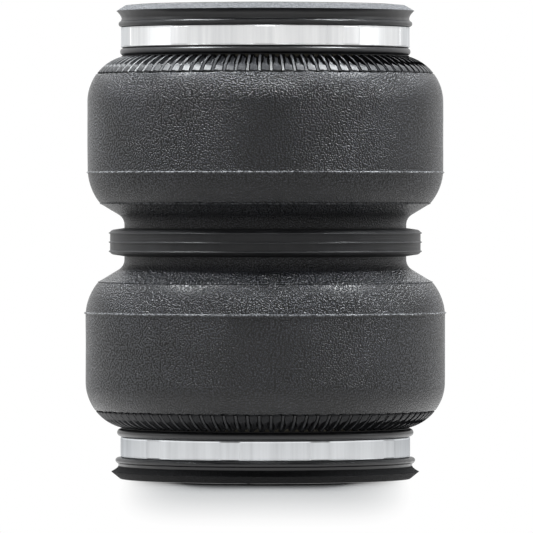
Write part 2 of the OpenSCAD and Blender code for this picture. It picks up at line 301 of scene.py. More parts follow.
class Bench:
    """Hand tools: short runs of operators on the mesh being modelled."""

    @staticmethod
    def take(obj: Piece) -> None:
        """Makes a piece the active one and the only one selected.

        Args:
            obj: The piece, in object mode.
        """
        bpy.ops.object.select_all(action="DESELECT")
        obj.select_set(True)
        bpy.context.view_layer.objects.active = obj

    @staticmethod
    def start(name: str, point: Vector) -> Piece:
        """Starts a mesh from a small plane that is merged to one point.

        Args:
            name: Name of the new piece.
            point: Profile point in millimetres, radius and height.

        Returns:
            The new object, in edit mode with its one vertex selected.
        """
        bpy.ops.object.select_all(action="DESELECT")
        bpy.ops.mesh.primitive_plane_add(size=0.002, location=(0, 0, 0))
        obj = bpy.context.object
        obj.name = name
        obj.data.name = name
        bpy.ops.object.mode_set(mode="EDIT")
        bpy.ops.mesh.select_mode(type="VERT")
        bpy.ops.mesh.select_all(action="SELECT")
        bpy.ops.mesh.merge(type="CENTER")
        bpy.ops.transform.translate(value=(point.x * MM, 0, point.y * MM))
        return obj

    @staticmethod
    def draw(name: str, path: Profile) -> Piece:
        """Draws a closed profile by extruding one vertex from point to point.

        Args:
            name: Name of the new piece.
            path: Profile points in millimetres.

        Returns:
            The object, in edit mode with its whole profile selected.
        """
        spots = thin_out(path)
        obj = Bench.start(name, spots[0])
        for first, last in zip(spots, spots[1:]):
            step = (last - first) * MM
            bpy.ops.mesh.extrude_vertices_move(TRANSFORM_OT_translate={"value": (step.x, 0, step.y)})
        Bench.pick(obj, lambda v: v.index in (0, len(spots) - 1))
        bpy.ops.mesh.edge_face_add()
        bpy.ops.mesh.select_all(action="SELECT")
        return obj

    @staticmethod
    def spin(steps: int, turn: float, copies: bool = False) -> None:
        """Spins what is selected round the axis, through a turn in radians."""
        bpy.ops.mesh.spin(steps=steps, dupli=copies, angle=turn, center=(0, 0, 0), axis=(0, 0, -1))

    @staticmethod
    def lathe(name: str, path: Profile, steps: int) -> Piece:
        """Spins a closed profile once round the axis.

        Args:
            name: Name of the new piece.
            path: Profile points in millimetres.
            steps: Steps of the turn.

        Returns:
            The object, in edit mode.
        """
        obj = Bench.draw(name, path)
        Bench.spin(steps, math.tau)
        Bench.weld()
        return obj

    @staticmethod
    def repeat(count: int) -> None:
        """Copies a shaped sector round the axis and welds the copies.

        Args:
            count: Number of sectors in a whole turn.
        """
        bpy.ops.mesh.select_all(action="SELECT")
        Bench.spin(count - 1, math.tau * (count - 1) / count, copies=True)
        Bench.weld()

    @staticmethod
    def weld() -> None:
        """Merges doubles and turns all faces outwards."""
        bpy.ops.mesh.select_all(action="SELECT")
        bpy.ops.mesh.remove_doubles(threshold=WELD_GAP)
        bpy.ops.mesh.normals_make_consistent(inside=False)

    @staticmethod
    def pick(obj: Piece, wanted: Callable[[bmesh.types.BMVert], bool]) -> None:
        """Selects vertices in edit mode.

        Args:
            obj: The object in edit mode.
            wanted: Says which vertices to take.
        """
        bpy.ops.mesh.select_mode(type="VERT")
        bpy.ops.mesh.select_all(action="DESELECT")
        mesh = bmesh.from_edit_mesh(obj.data)
        mesh.verts.ensure_lookup_table()
        mesh.verts.index_update()
        for vertex in mesh.verts:
            if wanted(vertex):
                vertex.select = True
        mesh.select_flush_mode()
        bmesh.update_edit_mesh(obj.data)

    @staticmethod
    def pick_faces(obj: Piece, wanted: Callable[[bmesh.types.BMFace], bool]) -> None:
        """Selects faces in edit mode.

        Args:
            obj: The object in edit mode.
            wanted: Says which faces to take.
        """
        bpy.ops.mesh.select_mode(type="FACE")
        bpy.ops.mesh.select_all(action="DESELECT")
        mesh = bmesh.from_edit_mesh(obj.data)
        for face in mesh.faces:
            if wanted(face):
                face.select_set(True)
        bmesh.update_edit_mesh(obj.data)

    @staticmethod
    def shift(obj: Piece, chosen: set[int], move: Triple) -> None:
        """Moves the vertices with the given numbers, in metres."""
        Bench.pick(obj, lambda v: v.index in chosen)
        bpy.ops.transform.translate(value=move)

    @staticmethod
    def displace(
        obj: Piece,
        name: str,
        scale: float,
        height: float,
        wanted: Callable[[Vector], float],
        direction: str = "NORMAL",
    ) -> None:
        """Roughens part of a piece with a cloud texture, then applies the modifier.

        Args:
            obj: The piece, in object mode.
            name: Name of the texture and of the vertex group.
            scale: Size of the clouds in millimetres.
            height: Whole height of the displacement in millimetres.
            wanted: Weight of a vertex by its place in millimetres.
            direction: Direction of the displacement.
        """
        group = obj.vertex_groups.new(name=name)
        for vertex in obj.data.vertices:
            weight = wanted(vertex.co / MM)
            if weight > 0:
                group.add([vertex.index], weight, "REPLACE")
        texture = bpy.data.textures.new(name, "CLOUDS")
        texture.noise_scale = scale * MM
        texture.noise_depth = 2
        modifier = obj.modifiers.new(name, "DISPLACE")
        modifier.texture = texture
        modifier.texture_coords = "LOCAL"
        modifier.direction = direction
        modifier.strength = height * MM
        modifier.mid_level = 0.5
        modifier.vertex_group = name
        bpy.context.view_layer.objects.active = obj
        bpy.ops.object.modifier_apply(modifier=name)

    @staticmethod
    def mark(obj: Piece, name: str, value: Callable[[Vector], float]) -> None:
        """Writes a number on each vertex for the finish to read.

        Args:
            obj: The piece, in object mode.
            name: Name of the attribute.
            value: Number of a vertex by its place in millimetres.
        """
        layer = obj.data.attributes.new(name, "FLOAT", "POINT")
        for vertex in obj.data.vertices:
            layer.data[vertex.index].value = value(vertex.co / MM)

    @staticmethod
    def paint(obj: Piece, finish: "Finish", wanted: Callable[[Vector], bool]) -> None:
        """Gives some faces of a finished piece another finish.

        Args:
            obj: The piece, in object mode.
            finish: Finish of those faces.
            wanted: Says which faces to take by their middle, in millimetres.
        """
        bpy.context.view_layer.objects.active = obj
        obj.data.materials.append(finish.material())
        bpy.ops.object.mode_set(mode="EDIT")
        Bench.pick_faces(obj, lambda face: wanted(face.calc_center_median() / MM))
        obj.active_material_index = len(obj.data.materials) - 1
        bpy.ops.object.material_slot_assign()
        bpy.ops.object.mode_set(mode="OBJECT")

    @staticmethod
    def done(obj: Piece, finish: "Finish", slot: str, angle: float = 40.0) -> Piece:
        """Leaves edit mode, smooths the piece and gives it its finish.

        Args:
            obj: The piece.
            finish: Finish of the whole piece.
            slot: Material slot of the record; not used.
            angle: Edges sharper than this stay sharp, in degrees.

        Returns:
            The piece.
        """
        if bpy.context.mode != "OBJECT":
            bpy.ops.object.mode_set(mode="OBJECT")
        Bench.take(obj)
        bpy.ops.object.shade_smooth_by_angle(angle=math.radians(angle))
        obj.data.materials.clear()
        obj.data.materials.append(finish.material())
        return obj


class Nodes:
    """A node tree under construction."""

    def __init__(self, tree: bpy.types.NodeTree) -> None:
        """Takes up the tree of a material or of the world."""
        self.tree = tree

    def add(self, kind: str, sockets: dict | None = None, **settings: object) -> bpy.types.Node:
        """Adds a node.

        Args:
            kind: Node type without its ShaderNode prefix.
            sockets: Input values by socket name.
            settings: Node properties.

        Returns:
            The new node.
        """
        node = self.tree.nodes.new("ShaderNode" + kind)
        for key, value in settings.items():
            setattr(node, key, value)
        for key, value in (sockets or {}).items():
            node.inputs[key].default_value = value
        return node

    def link(self, source: Socket, target: Socket) -> None:
        """Joins two sockets."""
        self.tree.links.new(source, target)

    def math(self, operation: str, a: Socket | float, b: Socket | float = 0.0) -> Socket:
        """Adds a math node.

        Args:
            operation: Name of the operation.
            a: First value, a socket or a number.
            b: Second value, a socket or a number.

        Returns:
            The result.
        """
        node = self.add("Math", operation=operation)
        for value, socket in zip((a, b), node.inputs):
            if isinstance(value, (int, float)):
                socket.default_value = value
            else:
                self.link(value, socket)
        return node.outputs["Value"]

    def weigh(self, a: Socket, share_a: float, b: Socket, share_b: float) -> Socket:
        """Adds two values, each times its share."""
        return self.math("ADD", self.math("MULTIPLY", a, share_a), self.math("MULTIPLY", b, share_b))

    def level(
        self, source: Socket, low: float, high: float, first: float, last: float, kind: str = "SMOOTHSTEP"
    ) -> Socket:
        """Maps a range of a value to another range.

        Args:
            source: The value.
            low: Value that gives first.
            high: Value that gives last.
            first: Result up to low.
            last: Result from high.
            kind: Interpolation between them.

        Returns:
            The mapped value.
        """
        span = {"From Min": low, "From Max": high, "To Min": first, "To Max": last}
        node = self.add("MapRange", span, interpolation_type=kind)
        self.link(source, node.inputs["Value"])
        return node.outputs["Result"]

    def blend(self, share: Socket, first: Socket, second: Socket) -> Socket:
        """Mixes two shaders.

        Args:
            share: 0 for the first, 1 for the second.
            first: First shader.
            second: Second shader.

        Returns:
            The mixed shader.
        """
        node = self.add("MixShader")
        for source, socket in zip((share, first, second), node.inputs):
            self.link(source, socket)
        return node.outputs["Shader"]

    def parts(self, source: Socket) -> bpy.types.NodeOutputs:
        """Splits a vector into its X, Y and Z outputs.

        Args:
            source: The vector.

        Returns:
            The three outputs by name.
        """
        node = self.add("SeparateXYZ")
        self.link(source, node.inputs["Vector"])
        return node.outputs


class Shader(Nodes):
    """A node material under construction."""

    def __init__(self, name: str) -> None:
        """Starts a material with a plain principled surface.

        Args:
            name: Name of the material.
        """
        self.material = bpy.data.materials.new(name)
        self.material.use_nodes = True
        super().__init__(self.material.node_tree)
        self.surface = self.tree.nodes["Principled BSDF"]
        self.place = self.add("TexCoord").outputs["Object"]

    def put(self, name: str, value: object) -> None:
        """Sets an input of the surface."""
        self.surface.inputs[name].default_value = value

    def feed(self, name: str, source: Socket) -> None:
        """Drives an input of the surface."""
        self.link(source, self.surface.inputs[name])

    def attribute(self, name: str) -> Socket:
        """Reads a number that was written on the vertices."""
        return self.add("Attribute", attribute_name=name).outputs["Fac"]

    def mapped(self, change: str, value: Triple) -> Socket:
        """Stretches or turns the object coordinates.

        Args:
            change: Scale or Rotation.
            value: Amount along or about each axis.

        Returns:
            The changed coordinates.
        """
        node = self.add("Mapping", {change: value})
        self.link(self.place, node.inputs["Vector"])
        return node.outputs["Vector"]

    def noise(
        self, scale: float, detail: float = 2.0, roughness: float = 0.5, place: Socket | None = None
    ) -> Socket:
        """Adds a noise texture.

        Args:
            scale: Cells per metre.
            detail: Octaves of the noise.
            roughness: Weight of the finer octaves.
            place: Coordinates, those of the object if not given.

        Returns:
            The noise from 0 to 1.
        """
        node = self.add("TexNoise", {"Scale": scale, "Detail": detail, "Roughness": roughness})
        self.link(self.place if place is None else place, node.inputs["Vector"])
        return node.outputs["Fac"]

    def unrolled(self, radius: float) -> Socket:
        """Unrolls a body of revolution round the upright axis into a flat sheet.

        Args:
            radius: Radius in metres at which the sheet has its true width.

        Returns:
            The vector along the girth and along the profile, joined at the back.
        """
        parts = self.parts(self.place)
        turn = self.math("ARCTAN2", parts["X"], self.math("MULTIPLY", parts["Y"], -1.0))
        sheet = self.add("CombineXYZ")
        self.link(self.math("MULTIPLY", turn, radius), sheet.inputs["X"])
        self.link(self.math("MULTIPLY", self.attribute("along"), MM), sheet.inputs["Y"])
        return sheet.outputs["Vector"]

    def ramp(self, source: Socket, *stops: tuple[float, Triple]) -> Socket:
        """Adds a colour ramp.

        Args:
            source: Value that drives the ramp.
            stops: Positions with their colours.

        Returns:
            The colour.
        """
        node = self.add("ValToRGB")
        elements = node.color_ramp.elements
        while len(elements) < len(stops):
            elements.new(0.5)
        for element, (position, colour) in zip(elements, stops):
            element.position = position
            element.color = (*colour, 1.0)
        self.link(source, node.inputs["Fac"])
        return node.outputs["Color"]

    def greys(self, source: Socket, *stops: tuple[float, float]) -> Socket:
        """Adds a ramp of greys, each stop a position and a level."""
        return self.ramp(source, *((position, (level,) * 3) for position, level in stops))

    def bump(self, height: Socket, strength: float, depth: float, under: Socket | None = None) -> Socket:
        """Adds a bump over another one.

        Args:
            height: Height of the relief.
            strength: Strength of the bump.
            depth: Depth of the relief in metres.
            under: Normal of the bump below it.

        Returns:
            The normal.
        """
        node = self.add("Bump", {"Strength": strength, "Distance": depth})
        self.link(height, node.inputs["Height"])
        if under is not None:
            self.link(under, node.inputs["Normal"])
        return node.outputs["Normal"]

    def paint_pale_lines(self, colour: Socket, share: Socket, line_colour: Triple) -> None:
        """Colours the surface, paler along marked lines: the parting-line flash, and painted highlights
        along the mould line and the hoop's ridges.

        Args:
            colour: Colour of the surface.
            share: How much of the pale colour a place takes.
            line_colour: Colour of the pale lines.
        """
        mix = self.add("Mix", data_type="RGBA")
        self.link(share, mix.inputs["Factor"])
        self.link(colour, mix.inputs["A"])
        mix.inputs["B"].default_value = (*line_colour, 1.0)
        self.feed("Base Color", mix.outputs["Result"])

    def roughen(self, source: Socket, swing: float, middle: float) -> None:
        """Lets the roughness swing round its middle value with a source from 0 to 1."""
        swung = self.math("MULTIPLY", source, swing)
        self.feed("Roughness", self.math("ADD", swung, middle - swing / 2))


@dataclass(frozen=True)
class Finish:
    """A finish that is made into one shared material."""

    name: str
    colour: Triple
    roughness: float

    def material(self) -> bpy.types.Material:
        """Finds the finish's material, or makes it on first use.

        Returns:
            The material.
        """
        name = f"{self.name}_finish"
        made = bpy.data.materials.get(name)
        if made is None:
            shader = Shader(name)
            self.shade(shader)
            made = shader.material
        return made

    def tint(self, factor: float) -> Triple:
        """A darker or lighter shade of the finish's colour."""
        return tuple(min(1.0, factor * c) for c in self.colour)

    def shade(self, shader: Shader) -> None:
        """Builds the nodes of the material."""
        raise NotImplementedError


@dataclass(frozen=True)
class GrainedRubber(Finish):
    """Moulded cover rubber with a fine pebbled leather grain."""

    grain: float = 1.0
    cell: float = 0.78
    contrast: float = 1.0
    gloss: float = 0.3
    girth_r: float = 73.0
    pebble_depth: float = 0.00023
    pore_depth: float = 0.00006
    # Paler colour on the marked lines: along the parting-line flash, and a painted highlight along the mould
    # line.
    pale_line_colour: Triple = (0.26, 0.267, 0.28)

    def shade(self, shader: Shader) -> None:
        """Builds grain, random dust and sheen of the rubber, with painted shade in the grain's valleys and a
        painted highlight on its pebbles, and the paler marked lines: the parting-line flash, and a painted
        highlight along the mould line.

        Args:
            shader: The material under construction.
        """
        pitch = 1 / (self.cell * MM)
        cells = shader.add("TexVoronoi", feature="SMOOTH_F1", voronoi_dimensions="2D")
        cells.inputs["Scale"].default_value = pitch
        cells.inputs["Randomness"].default_value = 0.95
        shader.link(shader.unrolled(self.girth_r * MM), cells.inputs["Vector"])
        pebbles = shader.greys(cells.outputs["Distance"], (0.08, 1.0), (0.5, 0.0))
        pores = shader.bump(shader.noise(pitch * 2.2), 0.3, self.pore_depth)
        shader.feed("Normal", shader.bump(pebbles, self.grain, self.pebble_depth, pores))
        # Pebble tops paler and valleys darker: painted highlight and painted shade, mixed with random dust.
        tone = shader.weigh(pebbles, 0.6, shader.noise(45.0, 3.0), 0.45)
        dark = self.tint(1 - 0.96 * self.contrast)
        light = self.tint(1 + 4.4 * self.contrast)
        colour = shader.ramp(tone, (0.28, dark), (0.5, self.colour), (0.72, light))
        specks = shader.greys(shader.noise(900.0), (0.42, 0.0), (0.62, 1.0))
        # Paler specked lines where the flash mark is set: the parting-line flash, and a painted highlight on
        # the mould line.
        shader.paint_pale_lines(colour, shader.math("MULTIPLY", shader.attribute("flash"), specks), self.pale_line_colour)
        shader.roughen(pebbles, -0.2, self.roughness)
        shader.put("Specular IOR Level", self.gloss)


@dataclass(frozen=True)
class SmoothRubber(Finish):
    """Smooth black rubber with fine turned lines and faint dust."""

    lines: float = 0.0
    gloss: float = 0.35
    line_stretch: Triple = (40.0, 40.0, 2200.0)
    line_depth: float = 0.00018
    pore_depth: float = 0.00006
    # Painted highlight colour on the crests of the hoop's ridges.
    pale_line_colour: Triple = (0.16, 0.163, 0.17)

    def shade(self, shader: Shader) -> None:
        """Builds pores, turned lines, dust and a painted highlight on the marked crests.

        Args:
            shader: The material under construction.
        """
        normal = shader.bump(shader.noise(2600.0), 0.2, self.pore_depth)
        if self.lines > 0:
            streaks = shader.noise(1.0, place=shader.mapped("Scale", self.line_stretch))
            normal = shader.bump(streaks, self.lines, self.line_depth, normal)
        shader.feed("Normal", normal)
        dust = shader.noise(160.0, 4.0)
        colour = shader.ramp(dust, (0.3, self.tint(0.7)), (0.75, self.tint(1.5)))
        # Painted highlight on the crests marked as flash, which only the hoop's ridges have.
        shader.paint_pale_lines(colour, shader.attribute("flash"), self.pale_line_colour)
        shader.roughen(dust, 0.2, self.roughness)
        shader.put("Specular IOR Level", self.gloss)


@dataclass(frozen=True)
class CutRubber(Finish):
    """Granular rubber where the sleeve was cut, dusted by the cut cord."""

    gloss: float = 0.3
    grain_depth: float = 0.0003

    def shade(self, shader: Shader) -> None:
        """Builds grains and dust.

        Args:
            shader: The material under construction.
        """
        grains = shader.add("TexVoronoi", {"Scale": 1500.0}, feature="F1")
        shader.link(shader.place, grains.inputs["Vector"])
        dust = shader.noise(1300.0, 3.0, 0.6)
        relief = shader.math("ADD", grains.outputs["Distance"], dust)
        shader.feed("Normal", shader.bump(relief, 0.8, self.grain_depth))
        colour = shader.ramp(dust, (0.35, self.tint(0.5)), (0.5, self.colour), (0.68, self.tint(1.8)))
        shader.feed("Base Color", colour)
        shader.put("Roughness", self.roughness)
        shader.put("Specular IOR Level", self.gloss)


@dataclass(frozen=True)
class BrushedMetal(Finish):
    """Metal with brush lines round the axis and faint press marks."""

    stretch: Triple = (60.0, 60.0, 2600.0)
    depth: float = 0.25
    press: float = 0.0
    line_depth: float = 0.00006
    press_depth: float = 0.0012
    press_stretch: Triple = (190.0, 190.0, 12.0)
    press_rim: Triple = (0.72, 0.74, 0.76)

    def shade(self, shader: Shader) -> None:
        """Builds brush lines, and press marks or stains.

        Args:
            shader: The material under construction.
        """
        shader.put("Metallic", 1.0)
        lines = shader.noise(1.0, 4.0, 0.6, shader.mapped("Scale", self.stretch))
        normal = shader.bump(lines, self.depth, self.line_depth)
        if self.press > 0:
            stain = shader.noise(1.0, 3.0, 0.55, shader.mapped("Scale", self.press_stretch))
            normal = shader.bump(stain, self.press, self.press_depth, normal)
            shader.put("Specular Tint", (*self.press_rim, 1.0))
        else:
            stain = shader.noise(120.0, 3.0)
        shader.feed("Normal", normal)
        tone = shader.weigh(lines, 0.5, stain, 0.5)
        shader.feed("Base Color", shader.ramp(tone, (0.35, self.tint(0.85)), (0.65, self.tint(1.06))))
        shader.roughen(tone, 0.22, self.roughness)


@dataclass(frozen=True)
class MouldedPlastic(Finish):
    """Moulded plastic with a fine spark grain and flow marks."""

    grain_depth: float = 0.00008

    def shade(self, shader: Shader) -> None:
        """Builds grain and flow marks.

        Args:
            shader: The material under construction.
        """
        shader.feed("Normal", shader.bump(shader.noise(1800.0, 3.0), 0.3, self.grain_depth))
        flow = shader.noise(38.0, 4.0)
        shader.feed("Base Color", shader.ramp(flow, (0.35, self.tint(0.75)), (0.68, self.tint(1.35))))
        shader.roughen(flow, 0.2, self.roughness)


@dataclass(frozen=True)
class WovenCord(Finish):
    """Calendered cord fabric, its cords laid on the bias."""

    bias: float = 38.0
    cord_depth: float = 0.0003

    def shade(self, shader: Shader) -> None:
        """Builds the cords.

        Args:
            shader: The material under construction.
        """
        weave = {"Scale": 160.0, "Distortion": 0.6, "Detail": 1.0}
        wave = shader.add("TexWave", weave, bands_direction="Z")
        shader.link(shader.mapped("Rotation", (0.0, 0.0, math.radians(self.bias))), wave.inputs["Vector"])
        cords = wave.outputs["Fac"]
        shader.feed("Normal", shader.bump(cords, 0.6, self.cord_depth))
        shader.feed("Base Color", shader.ramp(cords, (0.2, self.tint(0.5)), (0.7, self.colour)))
        shader.put("Roughness", self.roughness)


BAND_BRUSH = (320.0, 320.0, 16.0)
COVER_RUBBER = GrainedRubber("cover_rubber", (0.0106, 0.011, 0.0128), 0.24, gloss=0.38)
# Paler, duller copy of the cover rubber round the neck: painted light in the shade between the bulges.
NECK_PAINTED_LIGHT = GrainedRubber("neck_painted_light", (0.0168, 0.0171, 0.0188), 0.34, contrast=0.8, gloss=0.34)
# Paler copies of the cover rubber on the ribs, one per end: painted light; the lower one is paler and duller
# still, painted light on the shaded lower shoulder.
UPPER_RIB_PAINTED_LIGHT = GrainedRubber("upper_rib_painted_light", (0.019, 0.0196, 0.022), 0.33, 0.12, 0.5, 0.12, 0.34)
LOWER_RIB_PAINTED_LIGHT = GrainedRubber("lower_rib_painted_light", (0.024, 0.0242, 0.026), 0.5, 0.12, 0.5, 0.12, 0.16)
# Paler copy of the rib rubber on the fin crests: a painted highlight.
FIN_CREST_PAINTED_HIGHLIGHT = GrainedRubber("fin_crest_painted_highlight", (0.028, 0.0288, 0.0315), 0.34, 0.12, 0.5, 0.12, 0.36)
# Near-black, dull copy of the rubber: painted shade in the rib pockets and on the sunken edge under the
# seam.
POCKET_PAINTED_SHADE = GrainedRubber("pocket_painted_shade", (0.005, 0.005, 0.0055), 0.7, 0.3, 0.5, 0.3, 0.1)
SLEEVE_RUBBER = SmoothRubber("sleeve_rubber", (0.011, 0.011, 0.0125), 0.34, gloss=0.5)
HOOP_RUBBER = SmoothRubber("hoop_rubber", (0.0115, 0.0115, 0.0125), 0.42, lines=1.0, gloss=0.33)
# The cut rubber of the two ends: the upper copy pale, painted light on the top lip; the lower copy
# near-black and dull, painted shade.
UPPER_CUT_PAINTED_LIGHT = CutRubber("upper_cut_painted_light", (0.065, 0.067, 0.072), 0.7)
LOWER_CUT_PAINTED_SHADE = CutRubber("lower_cut_painted_shade", (0.004, 0.004, 0.0045), 0.75, gloss=0.1)
UPPER_BAND_METAL = BrushedMetal("upper_band_aluminium", (0.94, 0.95, 0.96), 0.31, BAND_BRUSH, 0.04, 0.02)
# Darker copy of the band aluminium for the lower band: painted shade.
LOWER_BAND_PAINTED_SHADE = BrushedMetal("lower_band_aluminium_painted_shade", (0.62, 0.635, 0.65), 0.34, BAND_BRUSH, 0.04, 0.03)
PLATED_STEEL = BrushedMetal("insert_steel", (0.56, 0.55, 0.52), 0.32)
TURNED_BRASS = BrushedMetal("port_brass", (0.74, 0.53, 0.24), 0.28)
WIRE_STEEL = BrushedMetal("girdle_wire_steel", (0.5, 0.5, 0.5), 0.35)
CUP_STEEL = BrushedMetal("cup_steel", (0.5, 0.5, 0.51), 0.36)
SCREW_STEEL = BrushedMetal("screw_steel", (0.09, 0.09, 0.095), 0.42)
CAP_NYLON = MouldedPlastic("cap_nylon", (0.016, 0.016, 0.017), 0.42)
BUMP_URETHANE = MouldedPlastic("bump_urethane", (0.6, 0.42, 0.1), 0.45)
CORD_FABRIC = WovenCord("cord_fabric", (0.5, 0.45, 0.34), 0.8)
LINER_RUBBER = SmoothRubber("liner_rubber", (0.02, 0.02, 0.021), 0.5)


@dataclass
class EndAssembly:
    """What is drawn for the lower end and mirrored for the upper one."""

    end: End
    sizes: Sizes = field(default=SIZES, kw_only=True)

    def place(self, path: Profile) -> Profile:
        """Puts a profile of the lower end on this end.

        Args:
            path: Profile of the lower end.

        Returns:
            The profile of this end.
        """
        if self.end is End.LOWER:
            return path
        return [Vector((p.x, self.sizes.overall_h - p.y)) for p in path]

    def spot(self, point: Vector) -> Vector:
        """Puts one profile point of the lower end on this end."""
        return self.place([point])[0]

    def height(self, place: Vector) -> float:
        """Distance of a place from this end's mounting face, in millimetres."""
        return place.z if self.end is End.LOWER else self.sizes.overall_h - place.z


@dataclass
class Convolution(EndAssembly):
    """One bulge of the bellows: ribbed shoulder, cover, cord plies and liner."""

    crown_d: float
    steps: int = 360
    layer_steps: int = 120
    crest_depth: float = 0.25
    pocket_depth: float = 2.35
    pocket_rise: float = 0.9
    pad_drop: float = 1.5
    bell_rise: float = 0.45
    tip_rise: float = 0.2
    pad_edge_drop: float = 0.12
    fin_edge_drop: float = 0.16

    @property
    def crown_r(self) -> float:
        """Crown radius."""
        return self.crown_d / 2

    @property
    def clamp_angle(self) -> float:
        """Angle of the shoulder arc at the clamp, in degrees."""
        s = self.sizes
        return math.degrees(math.acos(1 - (self.crown_r - s.collar_r) / s.shoulder_round))

    @property
    def shoulder_centre(self) -> Vector:
        """Centre of the shoulder arc.

        Returns:
            The point, at the height where the wall stands upright.
        """
        s = self.sizes
        rise = s.shoulder_round * math.sin(math.radians(self.clamp_angle))
        return Vector((self.crown_r - s.shoulder_round, s.end_h + s.collar_h + rise))

    @property
    def rib_angle(self) -> float:
        """Angle of the shoulder arc at the rib line.

        Returns:
            The angle in degrees.
        """
        s = self.sizes
        rib_line_z = s.end_h + s.collar_h + s.rib_h
        return math.degrees(math.asin((self.shoulder_centre.y - rib_line_z) / s.shoulder_round))

    @property
    def rib_pitch(self) -> float:
        """Angle from one fin to the next, in degrees."""
        return 360 / self.sizes.rib_count

    @property
    def seam_angle(self) -> float:
        """Angle of the cover's edge on the seam to the ribs, in degrees."""
        s = self.sizes
        return -self.rib_angle + math.degrees(s.seam_w / s.shoulder_round)

    @property
    def kink(self) -> Vector:
        """Point of the mould line between crown and flank.

        Returns:
            The point, from which the flank runs straight to the neck's round.
        """
        s = self.sizes
        flank = math.radians(s.flank_angle)
        radius = self.crown_r - s.crown_round * (1 - math.cos(math.radians(s.mould_angle)))
        run = radius - s.neck_r - s.neck_round * (1 - math.cos(flank))
        height = s.neck_z - s.neck_round * math.sin(flank) - run / math.tan(flank)
        return Vector((radius, height))

    @property
    def crown_centre(self) -> Vector:
        """Centre of the crown arc.

        Returns:
            The point, inside the mould line.
        """
        s = self.sizes
        rise = s.crown_round * math.sin(math.radians(s.mould_angle))
        return Vector((self.crown_r - s.crown_round, self.kink.y - rise))

    @property
    def parting_z(self) -> float:
        """Height of the parting line."""
        s = self.sizes
        return self.crown_centre.y + s.crown_round * math.sin(math.radians(s.parting_angle))

    def neck(self) -> Profile:
        """Draws the profile from the mould line to the middle of the girdle hoop.

        Returns:
            The profile without the mould line itself.
        """
        s = self.sizes
        centre = Vector((s.neck_r + s.neck_round, s.neck_z))
        fillet = arc(centre, s.neck_round, 180 + s.flank_angle, 180, 10)
        return line(self.kink, fillet[0], 5)[1:] + fillet[1:] + points((s.neck_r, s.mid_z))

    def wall(self, fine: int) -> Profile:
        """Draws the profile of the whole wall from clamp to girdle hoop.

        Args:
            fine: Steps of each arc.

        Returns:
            The profile without flash and ribs.
        """
        s = self.sizes
        shoulder = arc(self.shoulder_centre, s.shoulder_round, -self.clamp_angle, 0, fine)
        turn = arc(self.crown_centre, s.crown_round, 0, s.mould_angle, fine)
        straight = line(shoulder[-1], turn[0], 10)[1:-1]
        return points((s.collar_r, s.end_h)) + shoulder + straight + turn + self.neck()

    def cover_path(self) -> Profile:
        """Draws the profile of the cover with its rounded seam edge, flash and mould line.

        Returns:
            The profile from the seam to the middle of the girdle hoop.
        """
        s = self.sizes
        crown = self.crown_centre
        shoulder = arc(self.shoulder_centre, s.shoulder_round, self.seam_angle + 0.6, 0, 26)
        seam_dir = ray(math.radians(self.seam_angle))
        seam = [self.shoulder_centre + seam_dir * (s.shoulder_round - d) for d in (0.9, 0.5, 0.22)]
        bulge = ((-1.3, 0), (-0.55, 0.02), (-0.3, 0.16), (-0.1, s.flash_h), (0.12, s.flash_h), (0.3, 0.14))
        flash = []
        for along, out in bulge:
            turned = math.radians(s.parting_angle) + along / s.crown_round
            flash.append(crown + (s.crown_round + out) * ray(turned))
        wall = line(shoulder[-1], flash[0], 16)[1:-1]
        after = s.parting_angle + math.degrees(0.7 / s.crown_round)
        turn = arc(crown, s.crown_round, after, s.mould_angle, 24)
        mould_line = points((0.05, -0.35), (0.26, -0.08), (0.2, 0.14), (-0.35, 0.3))
        mould = [self.kink + step for step in mould_line]
        return seam + shoulder + wall + flash + turn[:-1] + mould + self.neck()

    def build_cover(self) -> Piece:
        """Models the smooth crown of the cover and roughens flash, walls and seam.

        Returns:
            The cover.
        """
        s = self.sizes
        side = self.end.value
        outer = self.cover_path()
        coarse = outer[::3]
        inner = inset(thin_out(coarse[1:] + [outer[-1]]), s.cover_t)
        obj = Bench.lathe(f"{side}_cover", self.place(outer + inner[::-1]), self.steps)
        bpy.ops.object.mode_set(mode="OBJECT")
        parting = self.spot(Vector((0, self.parting_z))).y
        mould = self.spot(self.kink).y
        seam = self.spot(self.shoulder_centre + s.shoulder_round * ray(math.radians(self.seam_angle)))
        Bench.displace(obj, f"{side}_flash", 3.0, 0.9, lambda p: self.flash_weight(p, parting))
        Bench.displace(obj, f"{side}_waves", 22.0, 0.5, lambda p: 0.6 if off_axis(p) > WAVY_FROM_R else 0.0)
        Bench.displace(obj, f"{side}_seam", 2.4, 0.8, lambda p: self.seam_weight(p, seam), "Z")
        Bench.done(obj, COVER_RUBBER, "bellows_rubber", 50)
        # Painted shade on the sunken edge under the seam.
        Bench.paint(obj, POCKET_PAINTED_SHADE, lambda p: self.under_seam(p, seam))
        # Painted light round the neck: the paler neck copy of the rubber.
        Bench.paint(obj, NECK_PAINTED_LIGHT, lambda p: -0.5 < off_axis(p) - s.neck_r < 2.2)
        # Paler parting-line flash, and a painted highlight along the mould line.
        Bench.mark(obj, "flash", lambda p: max(self.flash_weight(p, parting), self.mould_highlight_weight(p, mould)))
        Bench.mark(obj, "along", self.travel)
        return obj

    def travel(self, place: Vector) -> float:
        """Works out the rough way along the profile from the girdle, which the grain follows.

        Args:
            place: Place of a vertex in millimetres.

        Returns:
            The way in millimetres.
        """
        mid_z = self.sizes.mid_z
        away = abs(place.z - mid_z)
        inward = 0.5 * (self.crown_r - off_axis(place))
        crown = abs(self.spot(self.crown_centre).y - mid_z)
        return away + inward if away > crown else away - inward

    def seam_weight(self, place: Vector, seam: Vector) -> float:
        """Weight of the torn seam edge at a vertex."""
        return 1 - ease((in_profile(place) - seam).length, 0.1, 1.1)

